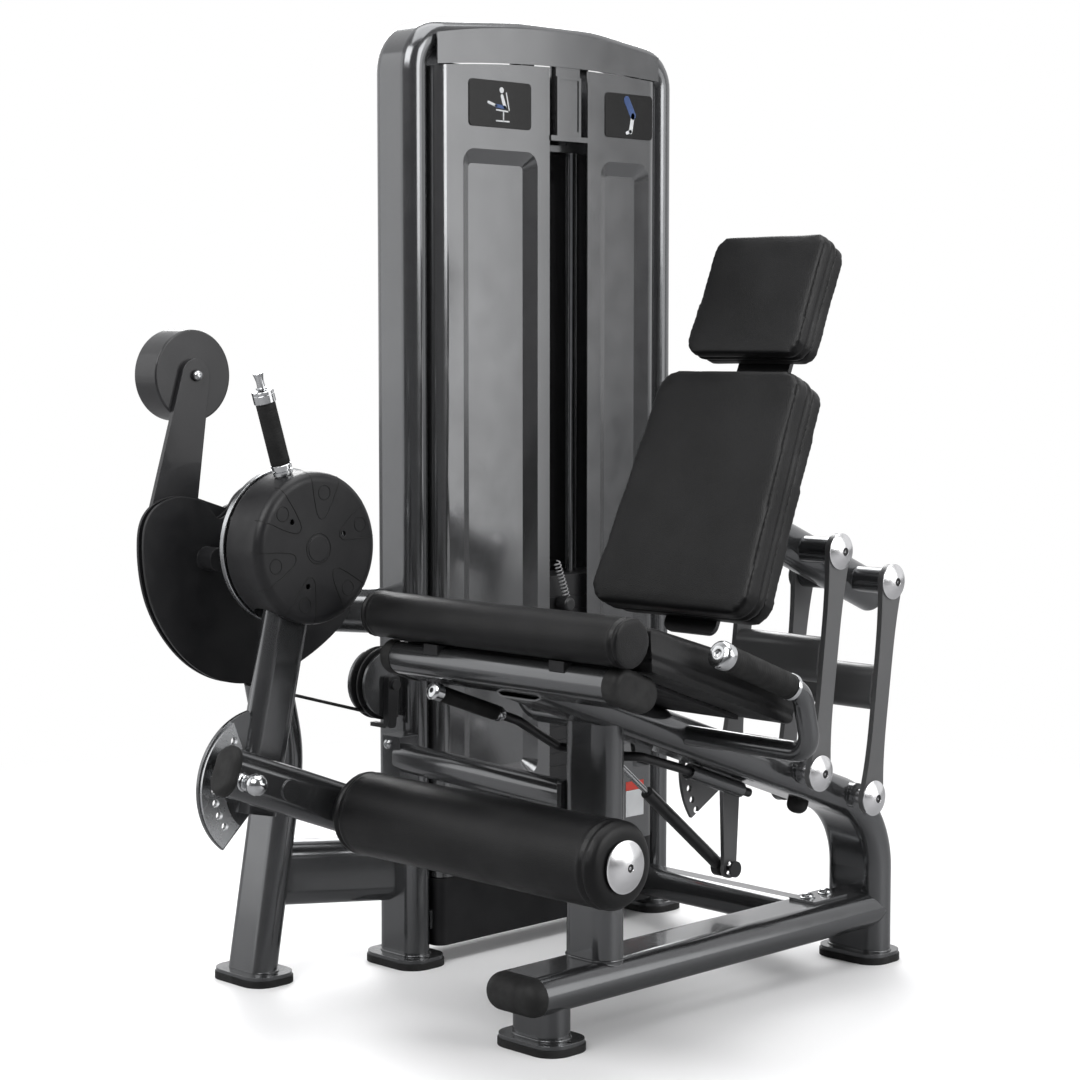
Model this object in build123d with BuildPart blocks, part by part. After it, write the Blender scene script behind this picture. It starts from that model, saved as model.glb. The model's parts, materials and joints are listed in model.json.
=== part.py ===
from build123d import *
import math
import os

os.makedirs("parts", exist_ok=True)

# ---------------------------------------------------------------- driving dimensions
# Layout frame, in millimetres: X = 0 is the seat's centre plane (+X to the left of a seated
# user), Y = 0 is the seat-side front foot (the user faces -Y), Z = 0 is the floor.
ORIGIN_X = -182.25           # middle of the whole machine's box, in the layout frame
ORIGIN_Y = 245.75

WALL = 3.0                   # tube wall
SHEET = 2.5                  # shroud sheet

# seat side frame
RAIL_W, RAIL_T = 120.0, 60.0
POST_W, POST_T = 100.0, 60.0
BASE_Z = 90.0
BASE_FRONT_Y = -44.0
POST_Y = 117.0
LEG_Y = 785.0
RAIL_Z0, RAIL_SLOPE = 554.0, -0.364      # rail centre line: z = RAIL_Z0 + RAIL_SLOPE * y
RAIL_TILT = math.degrees(math.atan(RAIL_SLOPE))
CROSS_Y, CROSS_Z = -60.0, 579.0
CROSS_W, CROSS_T = 96.0, 52.0
CROSS_HALF = 228.0

# seat
SEAT_HALF = 275.0
ROLL_R, ROLL_Y, ROLL_Z = 38.0, -91.0, 652.0
HANDLE_X = 305.0

# tower
TOWER_X = -530.0
COLUMN_W, COLUMN_T = 100.0, 50.0
COLUMN_FRONT_Y, COLUMN_REAR_Y = 192.0, 800.0
PANEL_X = -472.0
SHROUD_BACK_X = -592.0
SHROUD_Y0, SHROUD_Y1 = 222.0, 770.0
SLOT_Y0, SLOT_Y1 = 488.0, 584.0
SKIRT_Z0, SKIRT_Z1 = 30.0, 148.0
STACK_Y = 530.0
PLATE_X, PLATE_Y, PLATE_T = 80.0, 340.0, 23.2
PLATE_PITCH = 23.7
PLATE_COUNT = 20
PIN_Z = 604.0
ROD_R, ROD_SPREAD = 10.0, 70.0

# leg mechanism
PIVOT_Y, PIVOT_Z = -156.0, 753.0
FAR_POST_X = -625.0
CAM_X = TOWER_X
ARM_X = -378.0
SHAFT_R = 17.5
ANKLE_Y, ANKLE_Z = -247.0, 389.0
ANKLE_X = -322.0
ROLLER_Y, ROLLER_Z = -119.0, 340.0
ROLLER_R, ROLLER_HALF = 68.0, 286.0
CW_DY, CW_DZ = -80.0, 268.0
GRIP_TILT = 17.0             # forward lean of the range-of-motion handle, degrees

# feet
FOOT_X, FOOT_Y, FOOT_HOLE = 136.0, 92.0, 58.0
PAD_T, FOOT_TOP = 11.0, 18.0

# cable
PULLEY_Y, PULLEY_Z, PULLEY_R = 140.0, 494.0, 62.0
GROOVE_R = 54.0
CABLE_R = 3.0
TOP_PULLEY_Z = 1496.0
ROD_TOP_Z = 1412.0

# backrest linkage
LINK_X = 95.0
LINK_LF = (547.0, 366.0)     # lower front pivot (y, z)
LINK_SPACING = (143.0, -60.0)
LINK_LEN, LINK_LEAN = 367.0, 7.35
BACK_Y, BACK_Z, BACK_LEAN = 268.0, 651.5, 23.5
BACK_H, BACK_HALF_LOW, BACK_HALF_TOP = 415.0, 172.0, 142.0
CRANK_PIN = (545.0, 178.0)
SPRING_EYE = (262.0, 411.0)
SPRING_X = -115.0


# ---------------------------------------------------------------- helpers
def side(x):
    """Plane parallel to YZ at x, whose sketch coordinates are (y, z)."""
    return Plane(origin=(x, 0, 0), x_dir=(0, 1, 0), z_dir=(1, 0, 0))


def save(part, name):
    """Shift a finished piece to the row frame, label it and write its file."""
    placed = part.moved(Location((-ORIGIN_X, -ORIGIN_Y, 0)))
    placed.label = name
    export_step(placed, f"parts/{name}.step")
    print(f"{name}: {len(placed.solids())} solids, {placed.volume / 1000:.0f} cm3")


def oval_tube(points, radii, wide, deep, wall=WALL, across=(1, 0, 0)):
    """Flat-oval tube along straight runs and tangent bends; wall 0 gives its envelope."""
    with BuildPart() as tube:
        with BuildLine() as path:
            if radii:
                FilletPolyline(*points, radius=radii)
            else:
                Line(*points)
        start = Plane(origin=path.line @ 0, x_dir=across, z_dir=path.line % 0)
        with BuildSketch(start):
            SlotOverall(wide, deep)
            if wall:
                SlotOverall(wide - 2 * wall, deep - 2 * wall, mode=Mode.SUBTRACT)
        sweep(path=path.line)
    return tube.part


def round_tube(points, radii, radius, bore=0.0):
    """Round bar or tube along straight runs and tangent bends."""
    with BuildPart() as tube:
        with BuildLine() as path:
            if radii:
                FilletPolyline(*points, radius=radii)
            else:
                Line(*points)
        with BuildSketch(Plane(origin=path.line @ 0, z_dir=path.line % 0)):
            Circle(radius)
            if bore:
                Circle(bore, mode=Mode.SUBTRACT)
        sweep(path=path.line)
    return tube.part


def bar_x(x0, x1, y, z, radius, bore=0.0):
    """Cylinder along X, with an optional bore."""
    with BuildPart() as bar:
        with BuildSketch(side(x0)):
            with Locations((y, z)):
                Circle(radius)
                if bore:
                    Circle(bore, mode=Mode.SUBTRACT)
        extrude(amount=x1 - x0)
    return bar.part


def domed_cap(x, y, z, radius, height, facing=1, socket=4.0):
    """Domed pivot cap with a hex socket, on a plane facing along X."""
    with BuildPart() as cap:
        plane = Plane(origin=(x, y, z), x_dir=(0, 1, 0), z_dir=(facing, 0, 0))
        with BuildSketch(plane):
            Circle(radius)
        extrude(amount=height)
        rim = cap.edges().filter_by(GeomType.CIRCLE).sort_by(Axis.X)
        fillet(rim[-1] if facing > 0 else rim[0], radius=height - 1.0)
        with BuildSketch(plane.offset(height)):
            RegularPolygon(socket, 6)
        extrude(amount=-height / 2, mode=Mode.SUBTRACT)
    return cap.part


def plate(points, x0, x1, corner=0.0):
    """Flat plate between x0 and x1 from an outline of (y, z) points, with rounded corners."""
    with BuildPart() as sheet:
        with BuildSketch(side(x0)) as outline:
            with BuildLine():
                Polyline(*points, close=True)
            make_face()
            if corner:
                fillet(outline.vertices(), radius=corner)
        extrude(amount=x1 - x0)
    return sheet.part


def polar(centre, radius, angle):
    """(y, z) point at an angle in degrees from +Y towards +Z."""
    a = math.radians(angle)
    return (centre[0] + radius * math.cos(a), centre[1] + radius * math.sin(a))


def rail_z(y):
    """Height of the seat rail's centre line."""
    return RAIL_Z0 + RAIL_SLOPE * y


# ---------------------------------------------------------------- seat side frame
def rail_envelope(wall=0.0):
    """Seat rail that runs down to the rear and bends into the rear leg."""
    knee = (0, LEG_Y, rail_z(LEG_Y))
    start = (0, CROSS_Y + 20, rail_z(CROSS_Y + 20))
    return oval_tube([start, knee, (0, LEG_Y, 18)], 150.0, RAIL_W, RAIL_T, wall)


def cross_envelope(wall=0.0):
    """Tube across the front of the seat, laid parallel to the rail."""
    tilt = math.radians(RAIL_TILT)
    across = (0, math.cos(tilt), math.sin(tilt))
    ends = [(-CROSS_HALF, CROSS_Y, CROSS_Z), (CROSS_HALF, CROSS_Y, CROSS_Z)]
    return oval_tube(ends, None, CROSS_W, CROSS_T, wall, across)


def post_envelope(wall=0.0):
    return oval_tube([(0, POST_Y, BASE_Z), (0, POST_Y, rail_z(POST_Y))], None, POST_W, POST_T, wall)


def build_seat_frame():
    base_run = [(0, BASE_FRONT_Y, BASE_Z), (0, LEG_Y, BASE_Z)]
    base_solid = oval_tube(base_run, None, RAIL_W, RAIL_T, 0)
    lower_pivots = [LINK_LF, (LINK_LF[0] + LINK_SPACING[0], LINK_LF[1] + LINK_SPACING[1])]

    with BuildPart() as main_rail:
        add(rail_envelope(WALL))
        add(cross_envelope(), mode=Mode.SUBTRACT)
        for y, z in lower_pivots:
            add(bar_x(-66, 66, y, z, 21))
            add(bar_x(-70, 70, y, z, 12.6), mode=Mode.SUBTRACT)
        # bearing tube of the release lever, on a web under the rail
        add(lever_tube(LEVER_TUBE_R, 0))
        add(lever_web())
        add(lever_tube(LEVER_ROD_R + 0.08, 20), mode=Mode.SUBTRACT)
        # bracket and stud of the gas spring
        eye_y, eye_z = SPRING_EYE
        tab = [(eye_y - 22, rail_z(eye_y - 22) - 24), (eye_y + 22, rail_z(eye_y + 22) - 24),
               (eye_y + 14, eye_z - 14), (eye_y - 14, eye_z - 14)]
        add(plate(tab, -42, -33))
        add(bar_x(SPRING_X - 9, -36, eye_y, eye_z, 5.0))
    save(main_rail.part, "main_rail")

    with BuildPart() as seat_cross_tube:
        add(cross_envelope(WALL))
    save(seat_cross_tube.part, "seat_cross_tube")

    with BuildPart() as base_frame:
        add(base_solid)
        with BuildSketch(Plane.XY.offset(18)):
            SlotOverall(POST_W, POST_T)
        extrude(amount=BASE_Z - 18)
        add(post_envelope())
        add(oval_tube([(0, BASE_FRONT_Y - 1, BASE_Z), (0, LEG_Y, BASE_Z)], None,
                      RAIL_W - 2 * WALL, RAIL_T - 2 * WALL, 0), mode=Mode.SUBTRACT)
        add(oval_tube([(0, POST_Y, BASE_Z), (0, POST_Y, rail_z(POST_Y))], None,
                      POST_W - 2 * WALL, POST_T - 2 * WALL, 0), mode=Mode.SUBTRACT)
        add(rail_envelope(), mode=Mode.SUBTRACT)
        # flange that takes the front tie tube
        flange = [(POST_Y - 26, 334), (POST_Y + 26, 334), (POST_Y + 26, 392), (POST_Y - 26, 392)]
        add(plate(flange, -58, -49, 6))
    save(base_frame.part, "base_frame")

    with BuildPart() as rubber_caps:
        # domed front cap of the base tube
        with BuildSketch(Plane(origin=(0, BASE_FRONT_Y, BASE_Z), x_dir=(1, 0, 0), z_dir=(0, -1, 0))):
            SlotOverall(RAIL_W, RAIL_T)
        extrude(amount=30)
        front = rubber_caps.faces().sort_by(Axis.Y)[0]
        fillet(front.edges(), radius=26)
        # cross tube caps
        tilt = math.radians(RAIL_TILT)
        for hand in (-1, 1):
            end = Plane(origin=(hand * CROSS_HALF, CROSS_Y, CROSS_Z),
                        x_dir=(0, math.cos(tilt), math.sin(tilt)), z_dir=(hand, 0, 0))
            with BuildPart(mode=Mode.PRIVATE) as cap:
                with BuildSketch(end):
                    SlotOverall(CROSS_W + 2, CROSS_T + 2)
                extrude(amount=26)
                fillet(cap.faces().sort_by(Axis.X)[-1 if hand > 0 else 0].edges(), radius=10)
            add(cap.part)
        # bumper under the bend of the rail
        foot = (613.0, rail_z(613.0) - 31.94)
        down = Plane(origin=(0, *foot), x_dir=(1, 0, 0), z_dir=(0, RAIL_SLOPE, -1))
        with BuildPart(mode=Mode.PRIVATE) as bumper:
            with BuildSketch(down):
                Circle(18)
            extrude(amount=22)
            fillet(bumper.edges().filter_by(GeomType.CIRCLE).sort_by(Axis.Z)[0], radius=15)
        add(bumper.part)
    save(rubber_caps.part, "rubber_caps")


# ---------------------------------------------------------------- release lever
LEVER_X = -14.0
LEVER_ROD_R = 7.5
LEVER_TUBE_R = 13.0
LEVER_DROP = RAIL_T / 2 / math.cos(math.radians(RAIL_TILT)) + LEVER_TUBE_R + 2
LEVER_GRIP_X = -150.0


def lever_axis(y):
    return (LEVER_X, y, rail_z(y) - LEVER_DROP)


def lever_tube(radius, extra):
    return round_tube([lever_axis(350 - extra), lever_axis(478 + extra)], None, radius)


def lever_web():
    """Short web between the lever's bearing tube and the rail."""
    low = LEVER_DROP - LEVER_TUBE_R + 3
    web = [(380, rail_z(380) - low), (450, rail_z(450) - low),
           (450, rail_z(450) - RAIL_T / 2), (380, rail_z(380) - RAIL_T / 2)]
    return plate(web, LEVER_X - 4, LEVER_X + 4)


def build_release_lever():
    def at(y):
        return (LEVER_GRIP_X, y, 494 + RAIL_SLOPE * (y - 46))

    points = [at(-74), at(96), (LEVER_GRIP_X, 186, 424), (LEVER_GRIP_X + 40, 205, 418),
              (LEVER_X - 34, 205, 418), (LEVER_X, 234, 418), lever_axis(325), lever_axis(500)]
    with BuildPart() as release_lever:
        # the rod turns freely in the bearing tube
        add(round_tube(points, [60, 14, 14, 18, 18, 40], LEVER_ROD_R))
        with BuildPart(mode=Mode.PRIVATE) as knob:
            add(round_tube([at(-86), at(-72)], None, 13.5))
            fillet(knob.edges().filter_by(GeomType.CIRCLE), radius=3)
        add(knob.part)
    save(release_lever.part, "release_lever")
    with BuildPart() as grip:
        add(round_tube([at(-72), at(46)], None, 12.5, LEVER_ROD_R + 0.05))
        fillet(grip.edges().filter_by(GeomType.CIRCLE).sort_by(Axis.Y)[-1], radius=2)
    save(grip.part, "lever_grip")


# ---------------------------------------------------------------- seat
def seat_top(y):
    return 679 - 0.305 * (y + 80)


def seat_under(y):
    return rail_z(y) + RAIL_T / 2 / math.cos(math.radians(RAIL_TILT)) + 0.5


def board_top(y):
    return rail_z(y) + RAIL_T / 2 / math.cos(math.radians(RAIL_TILT)) + 16


def build_seat():
    front_y, rear_y = -50.0, 274.0
    with BuildPart() as seat_cushion:
        outline = [(front_y, seat_top(front_y)), (rear_y, seat_top(rear_y)),
                   (rear_y + 6, seat_under(rear_y)), (front_y, seat_under(front_y))]
        add(plate(outline, -SEAT_HALF, SEAT_HALF))
        rear = seat_cushion.edges().filter_by(Axis.X).group_by(Axis.Y)[-1]
        fillet(rear, radius=12)
        recess = [(front_y - 5, board_top(front_y - 5) + 0.5), (rear_y - 25, board_top(rear_y - 25) + 0.5),
                  (rear_y - 25, 380), (front_y - 5, 380)]
        add(plate(recess, -182, 182), mode=Mode.SUBTRACT)
    save(seat_cushion.part, "seat_cushion")
    save(bar_x(-SEAT_HALF, SEAT_HALF, ROLL_Y, ROLL_Z, ROLL_R), "seat_front_roll")
    with BuildPart() as seat_board:
        y0, y1 = front_y + 2, rear_y - 28
        board = [(y0, board_top(y0)), (y1, board_top(y1)), (y1, board_top(y1) - 15.5), (y0, board_top(y0) - 15.5)]
        add(plate(board, -180, 180))
        # saddle blocks that carry the front roll on the cross tube
        saddle = [(-104, 600), (-62, 600), (-62, 616), (-104, 616)]
        for x in (-150, 120):
            add(plate(saddle, x, x + 30))
        add(cross_envelope(), mode=Mode.SUBTRACT)
        add(bar_x(-SEAT_HALF, SEAT_HALF, ROLL_Y, ROLL_Z, ROLL_R), mode=Mode.SUBTRACT)
    save(seat_board.part, "seat_board")


def handle_at(hand, y):
    """Point on a handle's sloping centre line."""
    return (hand * HANDLE_X, y, 620 - 0.395 * (y - 74))


def handle_line(hand):
    x = hand * HANDLE_X
    return [handle_at(hand, 74), handle_at(hand, 246), (x, 270, rail_z(268)), (hand * 40, 270, rail_z(268))]


def build_handles():
    with BuildPart() as handle_bars:
        for hand in (-1, 1):
            add(round_tube(handle_line(hand), [34, 34], 16))
        add(rail_envelope(), mode=Mode.SUBTRACT)
        for hand in (-1, 1):
            add(round_tube([handle_at(hand, 60), handle_at(hand, 222)], None, 20), mode=Mode.SUBTRACT)
    save(handle_bars.part, "handle_bars")
    with BuildPart() as handle_grips:
        for hand in (-1, 1):
            add(round_tube([handle_at(hand, 74), handle_at(hand, 214)], None, 19.5))
    save(handle_grips.part, "handle_grips")
    with BuildPart() as handle_rings:
        for hand in (-1, 1):
            add(round_tube([handle_at(hand, 54), handle_at(hand, 74)], None, 21.5))
            add(round_tube([handle_at(hand, 214), handle_at(hand, 222)], None, 21))
    save(handle_rings.part, "handle_rings")


# ---------------------------------------------------------------- feet
def foot_places():
    return [(0, 0), (0, LEG_Y), (FAR_POST_X, -66), (TOWER_X, COLUMN_FRONT_Y), (TOWER_X, COLUMN_REAR_Y)]


def foot_layer(z0, z1, grow, hole):
    """One layer of every foot: a rounded plate with two bolt holes."""
    with BuildPart() as layer:
        for x, y in foot_places():
            with BuildSketch(Plane.XY.offset(z0)):
                with Locations((x, y)):
                    RectangleRounded(FOOT_X + 2 * grow, FOOT_Y + 2 * grow, 35 + grow)
                with Locations((x - FOOT_HOLE, y), (x + FOOT_HOLE, y)):
                    Circle(hole, mode=Mode.SUBTRACT)
            extrude(amount=z1 - z0)
    return layer.part


def build_feet():
    save(foot_layer(PAD_T, FOOT_TOP, 0, 5.0), "foot_plates")
    save(foot_layer(0, PAD_T, 2, 5.5), "foot_pads")


# ---------------------------------------------------------------- tower
def hoop_points():
    low = 18.0
    x = TOWER_X
    return [(x, COLUMN_FRONT_Y, low), (x, COLUMN_FRONT_Y, 1588), (x, 430, 1606), (x, 620, 1606),
            (x, COLUMN_REAR_Y, 1582), (x, COLUMN_REAR_Y, low)]


def column_envelope():
    x = TOWER_X
    run = [(x, COLUMN_FRONT_Y, 18), (x, COLUMN_FRONT_Y, 1500)]
    return oval_tube(run, None, COLUMN_W, COLUMN_T, 0)


def box_between(low, high):
    with BuildPart() as block:
        size = [b - a for a, b in zip(low, high)]
        centre = tuple((a + b) / 2 for a, b in zip(low, high))
        with Locations(centre):
            Box(*size)
    return block.part


def build_tower_frame():
    with BuildPart() as tower_frame:
        add(oval_tube(hoop_points(), [62, 400, 400, 48], COLUMN_W, COLUMN_T, WALL))
        # openings where the pulleys reach into the front column
        for y, z in ((PULLEY_Y, PULLEY_Z), (top_pulley_ys()[0], TOP_PULLEY_Z)):
            add(bar_x(TOWER_X - 13, TOWER_X + 13, y, z, PULLEY_R + 4), mode=Mode.SUBTRACT)
        # side cheeks of the lower pulley, welded to the column's front
        for x in (TOWER_X - 22, TOWER_X + 16):
            with BuildPart(mode=Mode.PRIVATE) as cheek:
                with BuildSketch(side(x)):
                    with Locations((PULLEY_Y, PULLEY_Z)):
                        Circle(57)
                    with Locations((PULLEY_Y + 26, PULLEY_Z)):
                        Rectangle(20, 112)
                extrude(amount=6)
            add(cheek.part)
        # hangers of the top pulleys
        for y in top_pulley_ys():
            for x in (TOWER_X - 17, TOWER_X + 12):
                hanger = [(y - 14, TOP_PULLEY_Z - 14), (y + 14, TOP_PULLEY_Z - 14), (y + 14, 1592), (y - 14, 1592)]
                add(plate(hanger, x, x + 5))
            add(bar_x(TOWER_X - 12, TOWER_X + 12, y, TOP_PULLEY_Z, 5.0))
        add(bar_x(TOWER_X - 16, TOWER_X + 16, PULLEY_Y, PULLEY_Z, 5.0))
        # floor channel that carries the guide rods and the stack, with two round risers
        add(floor_channel())
        for y in (STACK_Y - 125, STACK_Y + 125):
            with BuildSketch(Plane.XY.offset(92)):
                with Locations((TOWER_X, y)):
                    Circle(24)
            extrude(amount=stack_bottom() - 92)
        # plate that holds the tops of the guide rods, on two straps from the arch
        head = (STACK_Y - ROD_SPREAD - 22, STACK_Y + ROD_SPREAD + 22)
        add(box_between((TOWER_X - 22, head[0], ROD_TOP_Z), (TOWER_X + 22, head[1], ROD_TOP_Z + 12)))
        for x in (TOWER_X - 22, TOWER_X + 17):
            add(box_between((x, head[1] - 54, ROD_TOP_Z), (x + 5, head[1], 1592)))
        with BuildSketch(Plane.XY.offset(ROD_TOP_Z)):
            with Locations((TOWER_X, STACK_Y)):
                Circle(9)
        extrude(amount=12, mode=Mode.SUBTRACT)
        # bracket box on the column for the front tie tube
        add(box_between((TOWER_X + 12, COLUMN_FRONT_Y - 60, 300), (TOWER_X + 56, COLUMN_FRONT_Y - 20, 407)))
        add(oval_tube([(TOWER_X, COLUMN_FRONT_Y, 290), (TOWER_X, COLUMN_FRONT_Y, 412)], None,
                      COLUMN_W - 2 * WALL, COLUMN_T - 2 * WALL, 0), mode=Mode.SUBTRACT)
    save(tower_frame.part, "tower_frame")


def floor_channel():
    return box_between((TOWER_X - 38, COLUMN_FRONT_Y + 25, 60), (TOWER_X + 38, COLUMN_REAR_Y - 25, 92))


def stack_bottom():
    return PIN_Z - PLATE_T / 2 - 0.5 - PLATE_T - (PLATE_COUNT - 1) * PLATE_PITCH


def top_pulley_ys():
    return (PULLEY_Y + 2 * GROOVE_R, STACK_Y - GROOVE_R)


def seam_points():
    return (SHROUD_Y0, 1541.0), ((SHROUD_Y0 + SHROUD_Y1) / 2, 1557.0), (SHROUD_Y1, 1550.0)


def recess(y0, y1, z0, z1, depth=16.0, bevel=26.0):
    """Tapered pocket pushed back into the panel, as a solid to cut or to add."""
    with BuildPart() as pocket:
        with BuildSketch(side(PANEL_X + 0.01)):
            with Locations(((y0 + y1) / 2, (z0 + z1) / 2)):
                RectangleRounded(y1 - y0, z1 - z0, 30)
        with BuildSketch(side(PANEL_X - depth)):
            with Locations(((y0 + y1) / 2, (z0 + z1) / 2)):
                RectangleRounded(y1 - y0 - 2 * bevel, z1 - z0 - 2 * bevel, 10)
        loft()
    return pocket.part


RECESSES = [(276.0, 462.0, 300.0, 1408.0), (614.0, 748.0, 300.0, 1402.0)]


def build_tower_covers():
    low = SKIRT_Z1 + 2
    with BuildPart() as tower_shroud:
        for outer_x, back in ((PANEL_X, PANEL_X - 32), (SHROUD_BACK_X, SHROUD_BACK_X + 8)):
            depth = abs(outer_x - back)
            hand = 1 if back < outer_x else -1
            with BuildPart(mode=Mode.PRIVATE) as panel:
                with BuildSketch(side(back)) as face:
                    with BuildLine():
                        a, b, c = seam_points()
                        Line((a[0], low), (a[0], a[1] - 2))
                        ThreePointArc((a[0], a[1] - 2), (b[0], b[1] - 2), (c[0], c[1] - 2))
                        Line((c[0], c[1] - 2), (c[0], low))
                        Line((c[0], low), (a[0], low))
                    make_face()
                extrude(amount=hand * depth)
                far = panel.faces().filter_by(Axis.X).sort_by(Axis.X)[-1 if hand > 0 else 0]
                fillet(far.edges().filter_by(Axis.Z), radius=min(24, depth - 2))
                inside = panel.faces().filter_by(Axis.X).sort_by(Axis.X)[0 if hand > 0 else -1]
                ends = panel.faces().filter_by(Axis.Z) + panel.faces().sort_by(Axis.Z)[-1:]
                offset(amount=-SHEET, openings=[inside, *ends])
            add(panel.part)
        for pocket in RECESSES:
            add(recess(*pocket), mode=Mode.ADD)
        for y0, y1, z0, z1 in RECESSES:
            with BuildPart(mode=Mode.PRIVATE) as hollow:
                with BuildSketch(side(PANEL_X + 1)):
                    with Locations(((y0 + y1) / 2, (z0 + z1) / 2)):
                        RectangleRounded(y1 - y0 - 4, z1 - z0 - 4, 28)
                with BuildSketch(side(PANEL_X - 16 + SHEET)):
                    with Locations(((y0 + y1) / 2, (z0 + z1) / 2)):
                        RectangleRounded(y1 - y0 - 56, z1 - z0 - 56, 8)
                loft()
            add(hollow.part, mode=Mode.SUBTRACT)
        add(box_between((PANEL_X - 12, SLOT_Y0, low + 20), (PANEL_X + 10, SLOT_Y1, 1600)), mode=Mode.SUBTRACT)
    save(tower_shroud.part, "tower_shroud")

    with BuildPart() as tower_cap:
        with BuildSketch(side(PANEL_X - SHEET)):
            with BuildLine():
                a, b, c = seam_points()
                ThreePointArc(a, b, c)
                Line(c, (c[0], 1594))
                ThreePointArc((c[0], 1594), (525, 1617), (a[0], 1593))
                Line((a[0], 1593), a)
            make_face()
        extrude(amount=SHEET)
        # block above the selector slot
        middle = (SLOT_Y0 + SLOT_Y1) / 2
        with BuildPart(mode=Mode.PRIVATE) as block:
            add(box_between((PANEL_X - 14, middle - 30, 1434), (PANEL_X - SHEET, middle + 30, 1562)))
            add(box_between((PANEL_X - 6, middle - 30, 1434), (PANEL_X + 1, middle + 30, 1541)))
            add(box_between((PANEL_X - 14, SLOT_Y0 + 1, 1428), (PANEL_X + 3, SLOT_Y1 - 1, 1437)))
            add(box_between((PANEL_X - 1, middle - 24, 1446), (PANEL_X + 2, middle + 24, 1536)), mode=Mode.SUBTRACT)
        add(block.part)
    save(tower_cap.part, "tower_cap")

    with BuildPart() as tower_skirt:
        with BuildSketch(Plane.XY.offset(SKIRT_Z0)):
            with Locations(((PANEL_X + SHROUD_BACK_X) / 2 - 1, (SHROUD_Y0 + SHROUD_Y1) / 2)):
                RectangleRounded(PANEL_X - SHROUD_BACK_X - 4, SHROUD_Y1 - SHROUD_Y0, 20)
                RectangleRounded(PANEL_X - SHROUD_BACK_X - 4 - 2 * SHEET,
                                 SHROUD_Y1 - SHROUD_Y0 - 2 * SHEET, 17.5, mode=Mode.SUBTRACT)
        extrude(amount=SKIRT_Z1 - SKIRT_Z0)
        add(floor_channel(), mode=Mode.SUBTRACT)
    save(tower_skirt.part, "tower_skirt")

    with BuildPart() as placards:
        for y0, y1 in ((293, 441), (628, 752)):
            with BuildSketch(side(PANEL_X)):
                with Locations(((y0 + y1) / 2, 1482)):
                    RectangleRounded(y1 - y0, 80, 8)
            extrude(amount=1.5)
    save(placards.part, "placards")


def build_stack():
    hole = ROD_R + 1.0
    top_resting = PIN_Z - PLATE_T / 2 - 0.5
    with BuildPart() as resting_plates:
        for i in range(PLATE_COUNT):
            with BuildSketch(Plane.XY.offset(top_resting - PLATE_T - i * PLATE_PITCH)):
                with Locations((TOWER_X, STACK_Y)):
                    RectangleRounded(PLATE_X, PLATE_Y, 5)
                    with Locations((0, -ROD_SPREAD), (0, ROD_SPREAD)):
                        Circle(hole, mode=Mode.SUBTRACT)
            extrude(amount=PLATE_T)
    save(resting_plates.part, "resting_plates")

    with BuildPart() as lifted_plates:
        base = PIN_Z - PLATE_T / 2
        with BuildSketch(Plane.XY.offset(base)):
            with Locations((TOWER_X, STACK_Y)):
                RectangleRounded(PLATE_X, PLATE_Y, 5)
                with Locations((0, -ROD_SPREAD), (0, ROD_SPREAD)):
                    Circle(hole, mode=Mode.SUBTRACT)
        extrude(amount=PLATE_T)
        with BuildSketch(Plane.XY.offset(base + PLATE_PITCH)):
            with Locations((TOWER_X, STACK_Y)):
                RectangleRounded(PLATE_X, PLATE_Y, 5)
                with Locations((0, -ROD_SPREAD), (0, ROD_SPREAD)):
                    Circle(ROD_R + 0.08, mode=Mode.SUBTRACT)
        extrude(amount=38)
        with BuildSketch(Plane.XY.offset(base + PLATE_PITCH + 38)):
            with Locations((TOWER_X, STACK_Y)):
                Circle(12)
        extrude(amount=26)
        add(bar_x(TOWER_X - PLATE_X, TOWER_X + PLATE_X, STACK_Y, PIN_Z, 5.06), mode=Mode.SUBTRACT)
    save(lifted_plates.part, "lifted_plates")

    with BuildPart() as guide_rods:
        with BuildSketch(Plane.XY.offset(92)):
            with Locations((TOWER_X, STACK_Y - ROD_SPREAD), (TOWER_X, STACK_Y + ROD_SPREAD)):
                Circle(ROD_R)
        extrude(amount=ROD_TOP_Z - 92)
    save(guide_rods.part, "guide_rods")

    with BuildPart() as selector_pin:
        add(bar_x(TOWER_X - 30, TOWER_X + PLATE_X / 2 + 4, STACK_Y, PIN_Z, 5.0))
        add(bar_x(TOWER_X + PLATE_X / 2 + 4, TOWER_X + PLATE_X / 2 + 30, STACK_Y, PIN_Z, 13.0))
        fillet(selector_pin.edges().filter_by(GeomType.CIRCLE).sort_by(Axis.X)[-1], radius=5)
    save(selector_pin.part, "selector_pin")


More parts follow.
